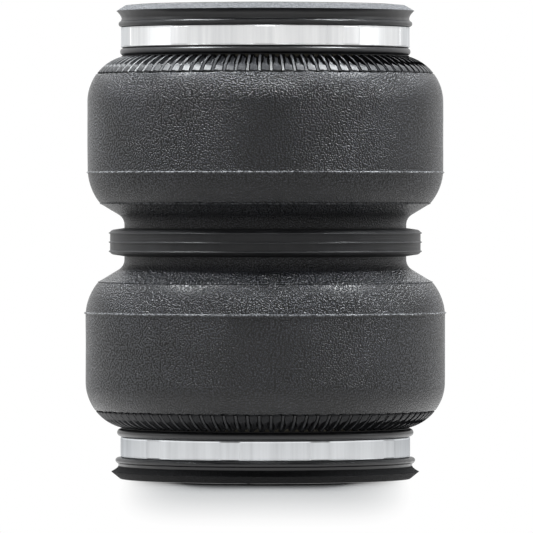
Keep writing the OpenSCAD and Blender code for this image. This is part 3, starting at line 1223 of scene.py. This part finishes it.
    def under_seam(self, place: Vector, seam: Vector) -> bool:
        """Says whether a place lies on the sunken edge along the seam, which gets painted shade."""
        return self.seam_weight(place, seam) > 0 and self.shoulder_depth(place) > 0.15

    def flash_weight(self, place: Vector, parting: float) -> float:
        """Weight of the flash line at a vertex."""
        near = 1 - ease(abs(place.z - parting), 0.14, 0.5)
        return near if off_axis(place) > self.crown_r - 0.9 else 0.0

    def mould_highlight_weight(self, place: Vector, mould: float) -> float:
        """Weighs the painted highlight along the thin line between two mould parts.

        Args:
            place: Place of a vertex in millimetres.
            mould: Height of the line.

        Returns:
            The weight, fainter on the lower end, where less light falls.
        """
        near = 1 - ease(abs(place.z - mould), 0.1, 0.3)
        pale = 0.3 if self.end is End.LOWER else 0.55
        return pale * near if off_axis(place) > self.kink.x - 0.3 else 0.0

    def pad_half(self, share: float, radius: float) -> float:
        """Half width of a pad along the shoulder.

        Args:
            share: 0 at the clamp, 1 at the rib line.
            radius: Radius there.

        Returns:
            Half the width in millimetres, a stem that opens to a bell.
        """
        s = self.sizes
        full = math.pi * radius / s.rib_count - s.fin_w / 2 - 1.5 * s.slot_w
        stem = 0.4 * s.pad_w
        return stem + (full - stem) * ease(share, 0.5, 0.74)

    def build_ribs(self) -> Piece:
        """Models one fin and one pad, sinks the pockets between them and repeats them round the shoulder.

        Returns:
            The ring of ribs.
        """
        s = self.sizes
        axis = self.shoulder_centre
        sweep = self.clamp_angle - self.rib_angle
        turns = [math.radians(sweep * share - self.clamp_angle) for share in RIB_SHARES]
        rows = [axis + s.shoulder_round * ray(turn) for turn in turns]
        deep = [axis + (p - axis).normalized() * (s.shoulder_round - s.cover_t) for p in rows[::-4]]
        edge = [rows[-1] - (rows[-1] - axis).normalized() * 1.2]
        outline = points((s.collar_r - 1.0, s.end_h)) + rows + edge + deep
        obj = Bench.draw(f"{self.end.value}_ribs", self.place(outline))
        Bench.spin(RIB_COLUMNS, math.radians(self.rib_pitch))
        top = self.place(rows)
        row_of = self.slide_columns(obj, top)
        self.sink_pockets(obj, top, row_of)
        Bench.repeat(s.rib_count)
        # Each end's ribs take their own paler copy of the rubber: painted light.
        rubber = UPPER_RIB_PAINTED_LIGHT if self.end is End.UPPER else LOWER_RIB_PAINTED_LIGHT
        Bench.done(obj, rubber, "bellows_rubber", 32)
        # Painted highlight on the fin crests.
        Bench.paint(obj, FIN_CREST_PAINTED_HIGHLIGHT, self.on_fin)
        if self.end is End.UPPER:
            # Painted shade on the floors and walls of the upper pockets.
            Bench.paint(obj, POCKET_PAINTED_SHADE, self.in_pocket)
        Bench.mark(obj, "along", self.travel)
        return obj

    def on_fin(self, place: Vector) -> bool:
        """Says whether a place lies on the crest of a fin.

        Args:
            place: Middle of a face in millimetres.

        Returns:
            Whether it does.
        """
        if abs(self.shoulder_depth(place)) > self.crest_depth:
            return False
        pitch = math.tau / self.sizes.rib_count
        turn = math.atan2(place.y, place.x) % pitch
        return min(turn, pitch - turn) * off_axis(place) < self.sizes.fin_w / 2

    def in_pocket(self, place: Vector) -> bool:
        """Says whether a place lies on floor or wall of a pocket between fin and pad, where shade is painted
        on the upper end.

        Args:
            place: Middle of a face in millimetres.

        Returns:
            Whether it does.
        """
        s = self.sizes
        if not self.crest_depth < self.shoulder_depth(place) < s.cover_t - 0.15:
            return False
        radius = off_axis(place)
        centre = self.spot(self.shoulder_centre)
        fall = math.degrees(math.atan2(abs(place.z - centre.y), radius - centre.x))
        share = (self.clamp_angle - fall) / (self.clamp_angle - self.rib_angle)
        pitch = math.tau / s.rib_count
        off = abs(math.atan2(place.y, place.x) % pitch - pitch / 2) * radius
        return off > self.pad_half(share, radius) - 0.06 or share < 0.1

    def shoulder_depth(self, place: Vector) -> float:
        """Depth of a place under the outside of the shoulder, in millimetres."""
        return self.sizes.shoulder_round - (in_profile(place) - self.spot(self.shoulder_centre)).length

    @staticmethod
    def nearest(top: Profile, place: Vector) -> tuple[int, float]:
        """Finds the profile point nearest to a vertex.

        Args:
            top: Outside profile of the ribbed zone.
            place: Place of the vertex in millimetres.

        Returns:
            Number of the point and its distance.
        """
        away = [(point - in_profile(place)).length for point in top]
        return away.index(min(away)), min(away)

    def slide_columns(self, obj: Piece, top: Profile) -> dict[int, tuple[int, int]]:
        """Slides the columns of the sector to the edges of fin and pad.

        Args:
            obj: The sector in edit mode.
            top: Outside profile of the ribbed zone.

        Returns:
            Row and column of each vertex of the outside, by vertex index.
        """
        pitch = self.rib_pitch
        mesh = bmesh.from_edit_mesh(obj.data)
        mesh.verts.ensure_lookup_table()
        row_of: dict[int, tuple[int, int]] = {}
        for vertex in mesh.verts:
            row, away = self.nearest(top, vertex.co / MM)
            if away < 0.02:
                turn = math.degrees(math.atan2(vertex.co.y, vertex.co.x))
                row_of[vertex.index] = (row, round(turn / pitch * RIB_COLUMNS))
        for row, point in enumerate(top):
            fin = math.degrees(self.sizes.fin_w / 2 / point.x)
            pad = pitch / 2 - math.degrees(self.pad_half(RIB_SHARES[row], point.x) / point.x)
            half = (fin + pad) / 2
            target = {1: fin, 2: half, 3: pad, 5: pitch - pad, 6: pitch - half, 7: pitch - fin}
            for column, angle in target.items():
                chosen = {i for i, spot in row_of.items() if spot == (row, column)}
                step = ray(math.radians(angle)) - ray(math.radians(pitch * column / RIB_COLUMNS))
                Bench.shift(obj, chosen, (step * point.x * MM).to_3d())
        return row_of

    def sink(self, obj: Piece, chosen: set[int], point: Vector, depth: float) -> None:
        """Sinks vertices of one row towards the centre of the shoulder.

        Args:
            obj: The sector in edit mode.
            chosen: Numbers of the vertices.
            point: Profile point of their row.
            depth: How far they sink, in millimetres.
        """
        inward = (self.spot(self.shoulder_centre) - point).normalized() * depth * MM
        middle = math.radians(self.rib_pitch / 2)
        Bench.shift(obj, chosen, (inward.x * math.cos(middle), inward.x * math.sin(middle), inward.y))

    def sink_pockets(self, obj: Piece, top: Profile, row_of: dict[int, tuple[int, int]]) -> None:
        """Sinks the faces between fin and pad into the shoulder, then the pad itself.

        Args:
            obj: The sector in edit mode.
            top: Outside profile of the ribbed zone.
            row_of: Row and column of each outside vertex.
        """
        last_row = len(top) - 2

        def of_pocket(face: bmesh.types.BMFace) -> bool:
            """Says whether a face lies between fin and pad, or at the pad's foot.

            Args:
                face: A face of the sector.

            Returns:
                Whether it does.
            """
            spots = [row_of.get(v.index) for v in face.verts]
            if None in spots:
                return False
            row = min(r for r, _ in spots)
            column = min(c for _, c in spots)
            return row < last_row and (column in (1, 2, 5, 6) or (row < 2 and column in (3, 4)))

        Bench.pick_faces(obj, of_pocket)
        bpy.ops.mesh.extrude_region_move(TRANSFORM_OT_translate={"value": (0, 0, 0)})
        mesh = bmesh.from_edit_mesh(obj.data)
        mesh.verts.index_update()
        floor: dict[int, set[int]] = {}
        for vertex in mesh.verts:
            if vertex.select:
                row, _ = self.nearest(top, vertex.co / MM)
                floor.setdefault(row, set()).add(vertex.index)
        for row, chosen in floor.items():
            depth = self.pocket_depth - self.pocket_rise * ease(RIB_SHARES[row], 0.6, 1.0)
            self.sink(obj, chosen, top[row], depth)
        for row, (point, share) in enumerate(zip(top, RIB_SHARES)):
            pad = self.pad_drop - self.bell_rise * ease(share, 0.45, 0.75)
            pad -= self.tip_rise * ease(share, 0.88, 1.0)
            drops = (((4,), pad), ((3, 5), pad + self.pad_edge_drop), ((1, 7), self.fin_edge_drop))
            for columns, drop in drops:
                chosen = {i for i, spot in row_of.items() if spot[0] == row and spot[1] in columns}
                self.sink(obj, chosen, point, drop)

    def build_layer(self, layer: Layer) -> Piece:
        """Models one of the layers under the cover.

        Args:
            layer: Which layer.

        Returns:
            The layer.
        """
        s = self.sizes
        depth = s.cover_t + s.fit_gap
        thick = s.ply_t
        finish: Finish = CORD_FABRIC
        slot = "cord_fabric"
        if layer is Layer.LINER:
            depth += s.ply_t + s.fit_gap
            thick = s.liner_t
            finish = LINER_RUBBER
            slot = "liner_rubber"
        wall = self.wall(14)
        loop = inset(wall, depth) + inset(wall, depth + thick)[::-1]
        obj = Bench.lathe(f"{self.end.value}_{layer.value}_sheet", self.place(loop), self.layer_steps)
        return Bench.done(obj, finish, slot)

    def fold(self, obj: Piece, *nodes: str) -> None:
        """Bakes a piece's placement into its mesh and hides the CAD nodes that it stands for.

        Args:
            obj: The piece.
            nodes: CAD nodes that it stands for.
        """
        if self.end is End.LOWER:
            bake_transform(obj)
        else:
            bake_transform(obj)
        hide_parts(*nodes)

    def build(self) -> list[Piece]:
        """Models and dresses the whole convolution.

        Returns:
            Its pieces.
        """
        side = self.end.value
        cover = self.build_cover()
        self.fold(cover, f"{side}_convolution")
        ribs = self.build_ribs()
        self.fold(ribs, f"{side}_rib_shoulder")
        made = [cover, ribs]
        for layer in Layer:
            sheet = self.build_layer(layer)
            self.fold(sheet, f"{side}_{layer.value}")
            made.append(sheet)
        return made


@dataclass
class ClampedEnd(EndAssembly):
    """Sleeve end and crimp band of one end."""

    lip_d: float
    bead_d: float
    jaw_turn: float
    lip_h: float
    steps: int = 360

    @property
    def body(self) -> str:
        """Body that carries this end."""
        return f"{self.end.value}_end"

    def sleeve_path(self) -> Profile:
        """Draws the outside profile of the sleeve.

        Returns:
            The profile from the cut end to the ribs.
        """
        s = self.sizes
        lip = self.lip_d / 2
        outer = self.bead_d / 2
        edge_z = s.cap_proud + self.lip_h
        groove = Vector((outer - s.lip_groove, s.outer_bead_z - s.outer_bead_round - 0.9))
        cut = line(Vector((lip - s.lip_cut, s.cap_proud + 0.15)), Vector((lip - 0.12, edge_z - 0.12)), 8)
        flare = [
            Vector((lip + (groove.x - lip) * (1 - (1 - t) ** 1.8), edge_z + (groove.y - edge_z) * t))
            for t in (0.05, 0.15, 0.3, 0.45, 0.6, 0.75, 0.9, 1.0)
        ]
        outer_mid = Vector((outer - s.outer_bead_round, s.outer_bead_z))
        inner_mid = Vector((outer - s.bead_step - s.inner_bead_round, s.inner_bead_z))
        return (
            points((s.land_r, s.cap_proud), (lip - s.lip_cut - 0.25, s.cap_proud))
            + cut
            + points((lip, edge_z))
            + flare
            + arc(outer_mid, s.outer_bead_round, -80, 80, 12)
            + points((s.seat_r, s.band_z - 0.05), (s.seat_r, s.band_top + 0.05))
            + arc(inner_mid, s.inner_bead_round, -80, 90, 12)
            + points((s.collar_r, s.inner_bead_z + s.inner_bead_round + 0.1), (s.collar_r, s.end_h))
        )

    def barbs(self) -> Profile:
        """Draws the inside profile where the barbs of the cap bite into the rubber.

        Returns:
            The profile with growing height.
        """
        s = self.sizes
        pitch = s.band_h / s.barb_count
        path = []
        for i in range(s.barb_count):
            foot = s.band_z + pitch * i
            tip = (s.land_r + s.barb_h, foot + 0.25 * pitch)
            path += points((s.land_r, foot), tip, (s.land_r, foot + 0.8 * pitch))
        return path

    def build_sleeve(self) -> Piece:
        """Models the rubber end with lip, groove and beads.

        Returns:
            The sleeve end.
        """
        s = self.sizes
        loop = self.sleeve_path() + points((s.land_r, s.end_h)) + self.barbs()[::-1]
        obj = Bench.lathe(f"{self.end.value}_sleeve", self.place(loop), self.steps)
        bpy.ops.object.mode_set(mode="OBJECT")
        Bench.displace(obj, f"{self.end.value}_sleeve_waves", 9.0, 0.35, self.loose_rubber)
        Bench.done(obj, SLEEVE_RUBBER, "bellows_rubber", 38)
        # The upper cut face takes the pale copy, painted light; the lower end takes the near-black copy,
        # painted shade, up over the lip's flare.
        cut = UPPER_CUT_PAINTED_LIGHT
        low = s.cap_proud + 0.1
        high = s.cap_proud + self.lip_h - 0.05
        if self.end is End.LOWER:
            cut = LOWER_CUT_PAINTED_SHADE
            high += 2.4
        Bench.paint(obj, cut, lambda p: low < self.height(p) < high and off_axis(p) > s.land_r + 0.5)
        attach(obj, self.body)
        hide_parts(f"{self.end.value}_sleeve_end")
        return obj

    def loose_rubber(self, place: Vector) -> float:
        """Weighs the hand-made unevenness, none where the cap or the band holds the rubber.

        Args:
            place: Place of a vertex in millimetres.

        Returns:
            The weight.
        """
        s = self.sizes
        free = off_axis(place) > s.seat_r + 0.4
        return 0.8 if free and 0.4 < self.height(place) < s.band_z - 1 else 0.0

    def band_path(self) -> Profile:
        """Draws the closed section of the band with rolled edges.

        Returns:
            The section.
        """
        s = self.sizes
        inner = s.seat_r + s.fit_gap
        low = s.band_z
        high = s.band_top
        roll = s.band_roll
        flat = s.band_r - 0.1
        bottom = arc(Vector((s.band_r - roll, low + roll)), roll, -90, 0, 5)
        top = arc(Vector((s.band_r - roll, high - roll)), roll, 0, 90, 5)
        rows = points((flat, low + roll + 0.25))
        rows += line(Vector((flat, low + roll + 0.45)), Vector((flat, high - roll - 0.45)), 4)
        rows += points((flat, high - roll - 0.25))
        foot = points((inner, low + 0.2), (inner + 0.2, low))
        return foot + bottom + rows + top + points((inner + 0.2, high), (inner, high - 0.2))

    def on_column(self, place: Vector, turn: float) -> bool:
        """Says whether a vertex lies on the outside of the band at a given angle.

        Args:
            place: Place of the vertex in millimetres.
            turn: The angle in radians.

        Returns:
            Whether it does.
        """
        s = self.sizes
        there = abs(math.atan2(place.y, place.x) - turn) < 1e-4
        outside = off_axis(place) > s.band_r - 0.3
        return there and outside and s.band_z + 0.7 < self.height(place) < s.band_top - 0.7

    def build_band(self) -> Piece:
        """Models one jaw's stretch of the band, raises the strip between two jaws and repeats it.

        Returns:
            The band.
        """
        s = self.sizes
        pitch = 360 / s.jaw_count
        edge = s.jaw_strip_angle / 2
        side = [-pitch / 2, -15, -12, -9.5, -7.5, -6, -5, -edge - 0.3, -edge + 0.1, -3, -1.5]
        angles = [a + pitch / 2 for a in side + [0.0] + [-a for a in side[::-1]]]
        obj = Bench.draw(f"{self.end.value}_band", self.place(self.band_path()))
        for last, angle in zip(angles, angles[1:]):
            Bench.spin(1, math.radians(angle - last))
        for angle in angles:
            if abs(angle - pitch / 2) < edge:
                turn = math.radians(angle)
                Bench.pick(obj, lambda v: self.on_column(v.co / MM, turn))
                bpy.ops.transform.translate(value=(ray(turn) * s.jaw_strip_h * MM).to_3d())
        Bench.repeat(s.jaw_count)
        bpy.ops.mesh.select_all(action="SELECT")
        turn = -math.radians(self.jaw_turn - pitch / 2)
        bpy.ops.transform.rotate(value=turn, orient_axis="Z", center_override=(0, 0, 0))
        # The lower band takes the darker copy: painted shade.
        metal = LOWER_BAND_PAINTED_SHADE if self.end is End.LOWER else UPPER_BAND_METAL
        Bench.done(obj, metal, "crimp_aluminium", 30)
        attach(obj, self.body)
        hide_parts(f"{self.end.value}_crimp_band")
        return obj

    def build(self) -> list[Piece]:
        """Models and dresses this end."""
        return [self.build_sleeve(), self.build_band()]


@dataclass
class Girdle:
    """Hoop round the waist of the bellows."""

    sizes: Sizes = SIZES
    steps: int = 360

    @property
    def ridge_z(self) -> float:
        """Height of the upper ridge over the middle one."""
        return self.sizes.girdle_h / 2 - self.sizes.hoop_ridge_in

    def path(self) -> Profile:
        """Draws the closed section of the hoop with its three ridges, round the wire.

        Returns:
            The section.
        """
        s = self.sizes
        half = s.girdle_h / 2
        inner = s.neck_r + s.fit_gap
        rim = points((inner, half + s.hoop_flare))
        rim += points(*((s.hoop_r - out, half - down) for out, down in ((1.3, 0.3), (0.6, 0.6), (0.1, 1.1))))
        crest = s.hoop_ridge_h
        slope = ((-0.5, 0.0), (-0.36, 0.1), (-0.2, crest - 0.1), (0.0, crest))
        ridge = slope + tuple((-off, out) for off, out in slope[-2::-1])
        outside = [Vector((p.x, -p.y)) for p in rim]
        for z in (-self.ridge_z, 0.0, self.ridge_z):
            outside += points(*((s.hoop_r + out, z + off) for off, out in ridge))
        deep = inner + s.wire_channel_t
        top = s.wire_channel_h / 2
        channel = points((inner, top), (deep, top), (deep, -top), (inner, -top))
        return [Vector((p.x, p.y + s.mid_z)) for p in outside + rim[::-1] + channel]

    def ridge_highlight_weight(self, place: Vector) -> float:
        """Weighs the painted highlight on the crests of the three ridges.

        Args:
            place: Place of a vertex in millimetres.

        Returns:
            The weight, 0 beside the crests.
        """
        s = self.sizes
        if off_axis(place) < s.hoop_r + s.hoop_ridge_h - 0.2:
            return 0.0
        off = abs(place.z - s.mid_z)
        return 0.22 * (1 - ease(min(off, abs(off - self.ridge_z)), 0.1, 0.3))

    def build(self) -> list[Piece]:
        """Models and dresses the hoop.

        Returns:
            The hoop alone.
        """
        obj = Bench.lathe("girdle_ring", self.path(), self.steps)
        Bench.done(obj, HOOP_RUBBER, "girdle_rubber", 35)
        # Painted highlight on the ridge crests.
        Bench.mark(obj, "flash", self.ridge_highlight_weight)
        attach(obj, "girdle")
        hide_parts("girdle_hoop")
        return [obj]


@dataclass
class Thread:
    """Internal thread of a bore, a ridge from its major to its minor radius."""

    name: str
    body: str
    finish: Finish
    slot: str
    bore_r: float
    height: float
    pitch: float
    length: float
    places: list[Vector]
    steps: int = 40

    def build(self) -> list[Piece]:
        """Winds the ridge once, then copies it into each bore.

        Returns:
            The ridges of all bores.
        """
        half = 0.44 * self.pitch
        crest = 0.1 * self.pitch
        out = self.bore_r - 0.02
        inside = self.bore_r - self.height
        start = half + 0.25
        below = points((out, start - half), (inside, start - crest))
        above = points((inside, start + crest), (out, start + half))
        first = Bench.draw(self.name, below + above)
        bpy.ops.object.mode_set(mode="OBJECT")
        screw = first.modifiers.new("winding", "SCREW")
        screw.steps = self.steps
        screw.render_steps = self.steps
        screw.screw_offset = self.pitch * MM
        screw.iterations = int((self.length - 2 * half - 0.4) / self.pitch)
        bpy.ops.object.modifier_apply(modifier="winding")
        bpy.ops.object.mode_set(mode="EDIT")
        bpy.ops.mesh.select_mode(type="EDGE")
        bpy.ops.mesh.select_all(action="DESELECT")
        bpy.ops.mesh.select_non_manifold()
        bpy.ops.mesh.edge_face_add()
        Bench.weld()
        Bench.done(first, self.finish, self.slot, 30)
        return [self.copy(first, i) for i in range(len(self.places))]

    def copy(self, first: Piece, index: int) -> Piece:
        """Puts a copy of the ridge, or at last the ridge itself, into one bore.

        Args:
            first: The modelled ridge.
            index: Number of the bore.

        Returns:
            The ridge in its bore.
        """
        obj = first
        if index < len(self.places) - 1:
            obj = first.copy()
            obj.data = first.data.copy()
            obj.name = f"{self.name}_{index + 1}"
            bpy.context.scene.collection.objects.link(obj)
        Bench.take(obj)
        bpy.ops.object.mode_set(mode="EDIT")
        bpy.ops.mesh.select_all(action="SELECT")
        bpy.ops.transform.translate(value=self.places[index] * MM)
        bpy.ops.object.mode_set(mode="OBJECT")
        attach(obj, self.body)
        return obj


@dataclass
class CapHardware:
    """Finishes of the CAD nodes that stay as they are."""

    finishes: dict[str, Finish] = field(
        default_factory=lambda: {
            "upper_end_cap": CAP_NYLON,
            "lower_end_cap": CAP_NYLON,
            "upper_cap_inserts": PLATED_STEEL,
            "lower_cap_inserts": PLATED_STEEL,
            "air_port_bush": TURNED_BRASS,
            "girdle_wire": WIRE_STEEL,
            "bump_stop": BUMP_URETHANE,
            "bump_stop_cup": CUP_STEEL,
            "bump_stop_screw": SCREW_STEEL,
        }
    )

    def dress(self) -> None:
        """Gives each node its finish."""
        for node, finish in self.finishes.items():
            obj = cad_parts[node]
            obj.data.materials.clear()
            obj.data.materials.append(finish.material())


@dataclass
class Studio:
    """Floor, light and camera of the photograph, in metres."""

    camera_place: Triple = (0.0005, -3.36, 0.1232)
    aim: Triple = (0.0005, 0.0, 0.0906)
    lens: float = 533.0
    sensor: float = 36.0
    lamp_colour: Triple = (0.95, 0.98, 1.0)
    lamp_aim: Triple = (0.0, 0.0, 0.1)
    floor_size: float = 6.0
    floor_z: float = -0.0002
    # Reach of the painted shadow patch on the floor: to each side, to the front and to the back.
    shade_side: float = 0.0615
    shade_front: float = 0.5
    shade_back: float = 0.11

    def stand(self, name: str, data: bpy.types.ID, place: Triple, aim: Triple) -> Piece:
        """Stands a lamp or a camera in the studio.

        Args:
            name: Name of the object.
            data: Its lamp or camera data.
            place: Place of the object.
            aim: Point it faces.

        Returns:
            The object.
        """
        obj = bpy.data.objects.new(name, data)
        bpy.context.scene.collection.objects.link(obj)
        obj.location = place
        obj.rotation_euler = (Vector(aim) - Vector(place)).to_track_quat("-Z", "Y").to_euler()
        return obj

    def lamp(self, name: str, place: Triple, size: tuple[float, float], power: float) -> None:
        """Adds a soft box.

        Args:
            name: Name of the lamp.
            place: Place of the lamp.
            size: Width and height.
            power: Power in watts.
        """
        data = bpy.data.lights.new(name, "AREA")
        data.shape = "RECTANGLE"
        data.size, data.size_y = size
        data.energy = power
        data.color = self.lamp_colour
        self.stand(name, data, place, self.lamp_aim).visible_camera = False

    def build_floor(self) -> None:
        """Adds a pale floor that shows white and keeps the object's shadow, with a painted shadow: darker in
        a patch in front of the object and darkest at its foot.
        """
        bpy.ops.object.select_all(action="DESELECT")
        bpy.ops.mesh.primitive_plane_add(size=self.floor_size, location=(0, 0, self.floor_z))
        floor = bpy.context.object
        floor.name = "floor"
        shader = Shader("pale_floor")
        shader.put("Roughness", 0.9)
        shader.put("Specular IOR Level", 0.1)
        parts = shader.parts(shader.place)
        aside = shader.math("DIVIDE", shader.math("ABSOLUTE", parts["X"]), self.shade_side)
        across = shader.math("POWER", aside, 3.0)
        front = shader.math("DIVIDE", parts["Y"], -self.shade_front)
        behind = shader.math("DIVIDE", parts["Y"], self.shade_back)
        ahead = shader.math("MAXIMUM", front, behind)
        across_square = shader.math("MULTIPLY", across, across)
        ahead_square = shader.math("MULTIPLY", ahead, ahead)
        away = shader.math("SQRT", shader.math("ADD", across_square, ahead_square))
        # Inside that patch the floor shows its own lit colour instead of white: painted shadow that fades
        # out with distance.
        levels = ((0.19, 0.0), (0.33, 0.25), (0.47, 0.43), (0.63, 0.65), (0.82, 0.9), (0.95, 1.0))
        painted_shadow_fade = shader.greys(away, *levels)
        # Floor colour darker towards the object's foot: painted contact shadow.
        painted_contact_shadow = ((0.15, 0.035), (0.175, 0.055), (0.225, 0.118), (0.29, 0.135))
        shader.feed("Base Color", shader.greys(away, *painted_contact_shadow))
        # Seen in reflections the floor glows, 1.5 times white near the object and 0.72 times white farther
        # out: painted light.
        radius = shader.add("VectorMath", operation="LENGTH")
        shader.link(shader.place, radius.inputs[0])
        near = shader.level(radius.outputs["Value"], 0.15, 0.32, 1.5, 0.72, "LINEAR")
        rays = shader.add("LightPath").outputs
        mirrored = rays["Is Glossy Ray"]
        painted_reflected_glow = shader.math("MULTIPLY", mirrored, shader.math("SUBTRACT", near, 1.0))
        glow = shader.add("Emission", {"Color": WHITE})
        shader.link(shader.math("ADD", painted_reflected_glow, 1.0), glow.inputs["Strength"])
        shown = shader.math("MAXIMUM", rays["Is Camera Ray"], rays["Is Transmission Ray"])
        share = shader.math("MAXIMUM", shader.math("MULTIPLY", shown, painted_shadow_fade), mirrored)
        mixed = shader.blend(share, shader.surface.outputs["BSDF"], glow.outputs["Emission"])
        shader.link(mixed, shader.tree.nodes["Material Output"].inputs["Surface"])
        floor.data.materials.append(shader.material)

    def build_world(self) -> None:
        """Sets a world that shows white behind the object and a bright horizon in its reflections."""
        world = bpy.data.worlds.new("studio_world")
        bpy.context.scene.world = world
        world.use_nodes = True
        nodes = Nodes(world.node_tree)
        parts = nodes.parts(nodes.add("TexCoord").outputs["Generated"])
        horizon = nodes.level(nodes.math("ABSOLUTE", parts["Z"]), 0.3, 0.62, 0.86, 0.06)
        behind = nodes.level(parts["Y"], 0.15, 0.55, 0.0, 0.9)
        dim, mirrored, plain = (
            nodes.add("Background", {"Color": WHITE, "Strength": strength}) for strength in (0.3, 1.0, 1.0)
        )
        nodes.link(nodes.math("MAXIMUM", horizon, behind), mirrored.inputs["Strength"])
        rays = nodes.add("LightPath").outputs
        lit = nodes.blend(rays["Is Glossy Ray"], dim.outputs[0], mirrored.outputs[0])
        seen = nodes.math("MAXIMUM", rays["Is Camera Ray"], rays["Is Transmission Ray"])
        shown = nodes.blend(seen, lit, plain.outputs[0])
        nodes.link(shown, nodes.tree.nodes["World Output"].inputs["Surface"])

    def build_camera(self) -> None:
        """Adds the camera at the photograph's viewing angle."""
        data = bpy.data.cameras.new("photo_camera")
        data.lens = self.lens
        data.sensor_width = self.sensor
        data.clip_end = 50.0
        bpy.context.scene.camera = self.stand("photo_camera", data, self.camera_place, self.aim)

    def build(self) -> None:
        """Sets up floor, world, lamps and camera."""
        self.build_floor()
        self.build_world()
        for side, name in ((-1, "left"), (1, "right")):
            self.lamp(f"{name}_high_box", (side * 0.4, 0.2, 1.15), (0.3, 0.3), 8.5)
            self.lamp(f"{name}_top_box", (side * 0.62, -0.1, 1.12), (0.36, 0.36), 21.0)
            self.lamp(f"{name}_side_box", (side * 1.2, 0.0, 0.48), (0.4, 0.6), 0.9)
        self.lamp("front_box", (0.0, -0.8, 1.0), (0.5, 0.25), 2.2)
        self.lamp("back_box", (0.0, 0.8, 0.9), (0.9, 0.4), 6.0)
        self.build_camera()
        bpy.context.scene.view_settings.view_transform = "Standard"


def main() -> None:
    """Builds every piece in order."""
    logging.basicConfig(level=logging.INFO, format="%(name)s: %(message)s")
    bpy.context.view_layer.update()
    Studio().build()
    CapHardware().dress()
    assemblies = [
        Convolution(End.LOWER, SIZES.lower_crown_d),
        Convolution(End.UPPER, SIZES.upper_crown_d),
        ClampedEnd(End.LOWER, lip_d=131.0, bead_d=127.6, jaw_turn=4.0, lip_h=3.1),
        ClampedEnd(End.UPPER, lip_d=126.8, bead_d=125.0, jaw_turn=18.0, lip_h=2.4),
        Girdle(),
    ]
    half = SIZES.bolt_spacing / 2
    for end, base in ((End.LOWER, 0.0), (End.UPPER, SIZES.overall_h - SIZES.bolt_depth)):
        bolt_thread = Thread(
            name=f"{end.value}_bolt_thread",
            body=f"{end.value}_end",
            finish=PLATED_STEEL,
            slot="insert_steel",
            bore_r=SIZES.bolt_bore_d / 2,
            height=SIZES.bolt_thread_h,
            pitch=SIZES.bolt_pitch,
            length=SIZES.bolt_depth,
            places=[Vector((-half, 0, base)), Vector((half, 0, base))],
        )
        assemblies.append(bolt_thread)
    port_thread = Thread(
        name="air_port_thread",
        body="upper_end",
        finish=TURNED_BRASS,
        slot="port_brass",
        bore_r=SIZES.port_bore_d / 2,
        height=SIZES.port_thread_h,
        pitch=SIZES.port_pitch,
        length=SIZES.port_l,
        places=[Vector((0, SIZES.port_y, SIZES.overall_h - SIZES.port_l))],
    )
    assemblies.append(port_thread)
    for assembly in assemblies:
        for piece in assembly.build():
            LOG.info("%s: %d faces", piece.name, len(piece.data.polygons))


if __name__ == "__main__":
    main()
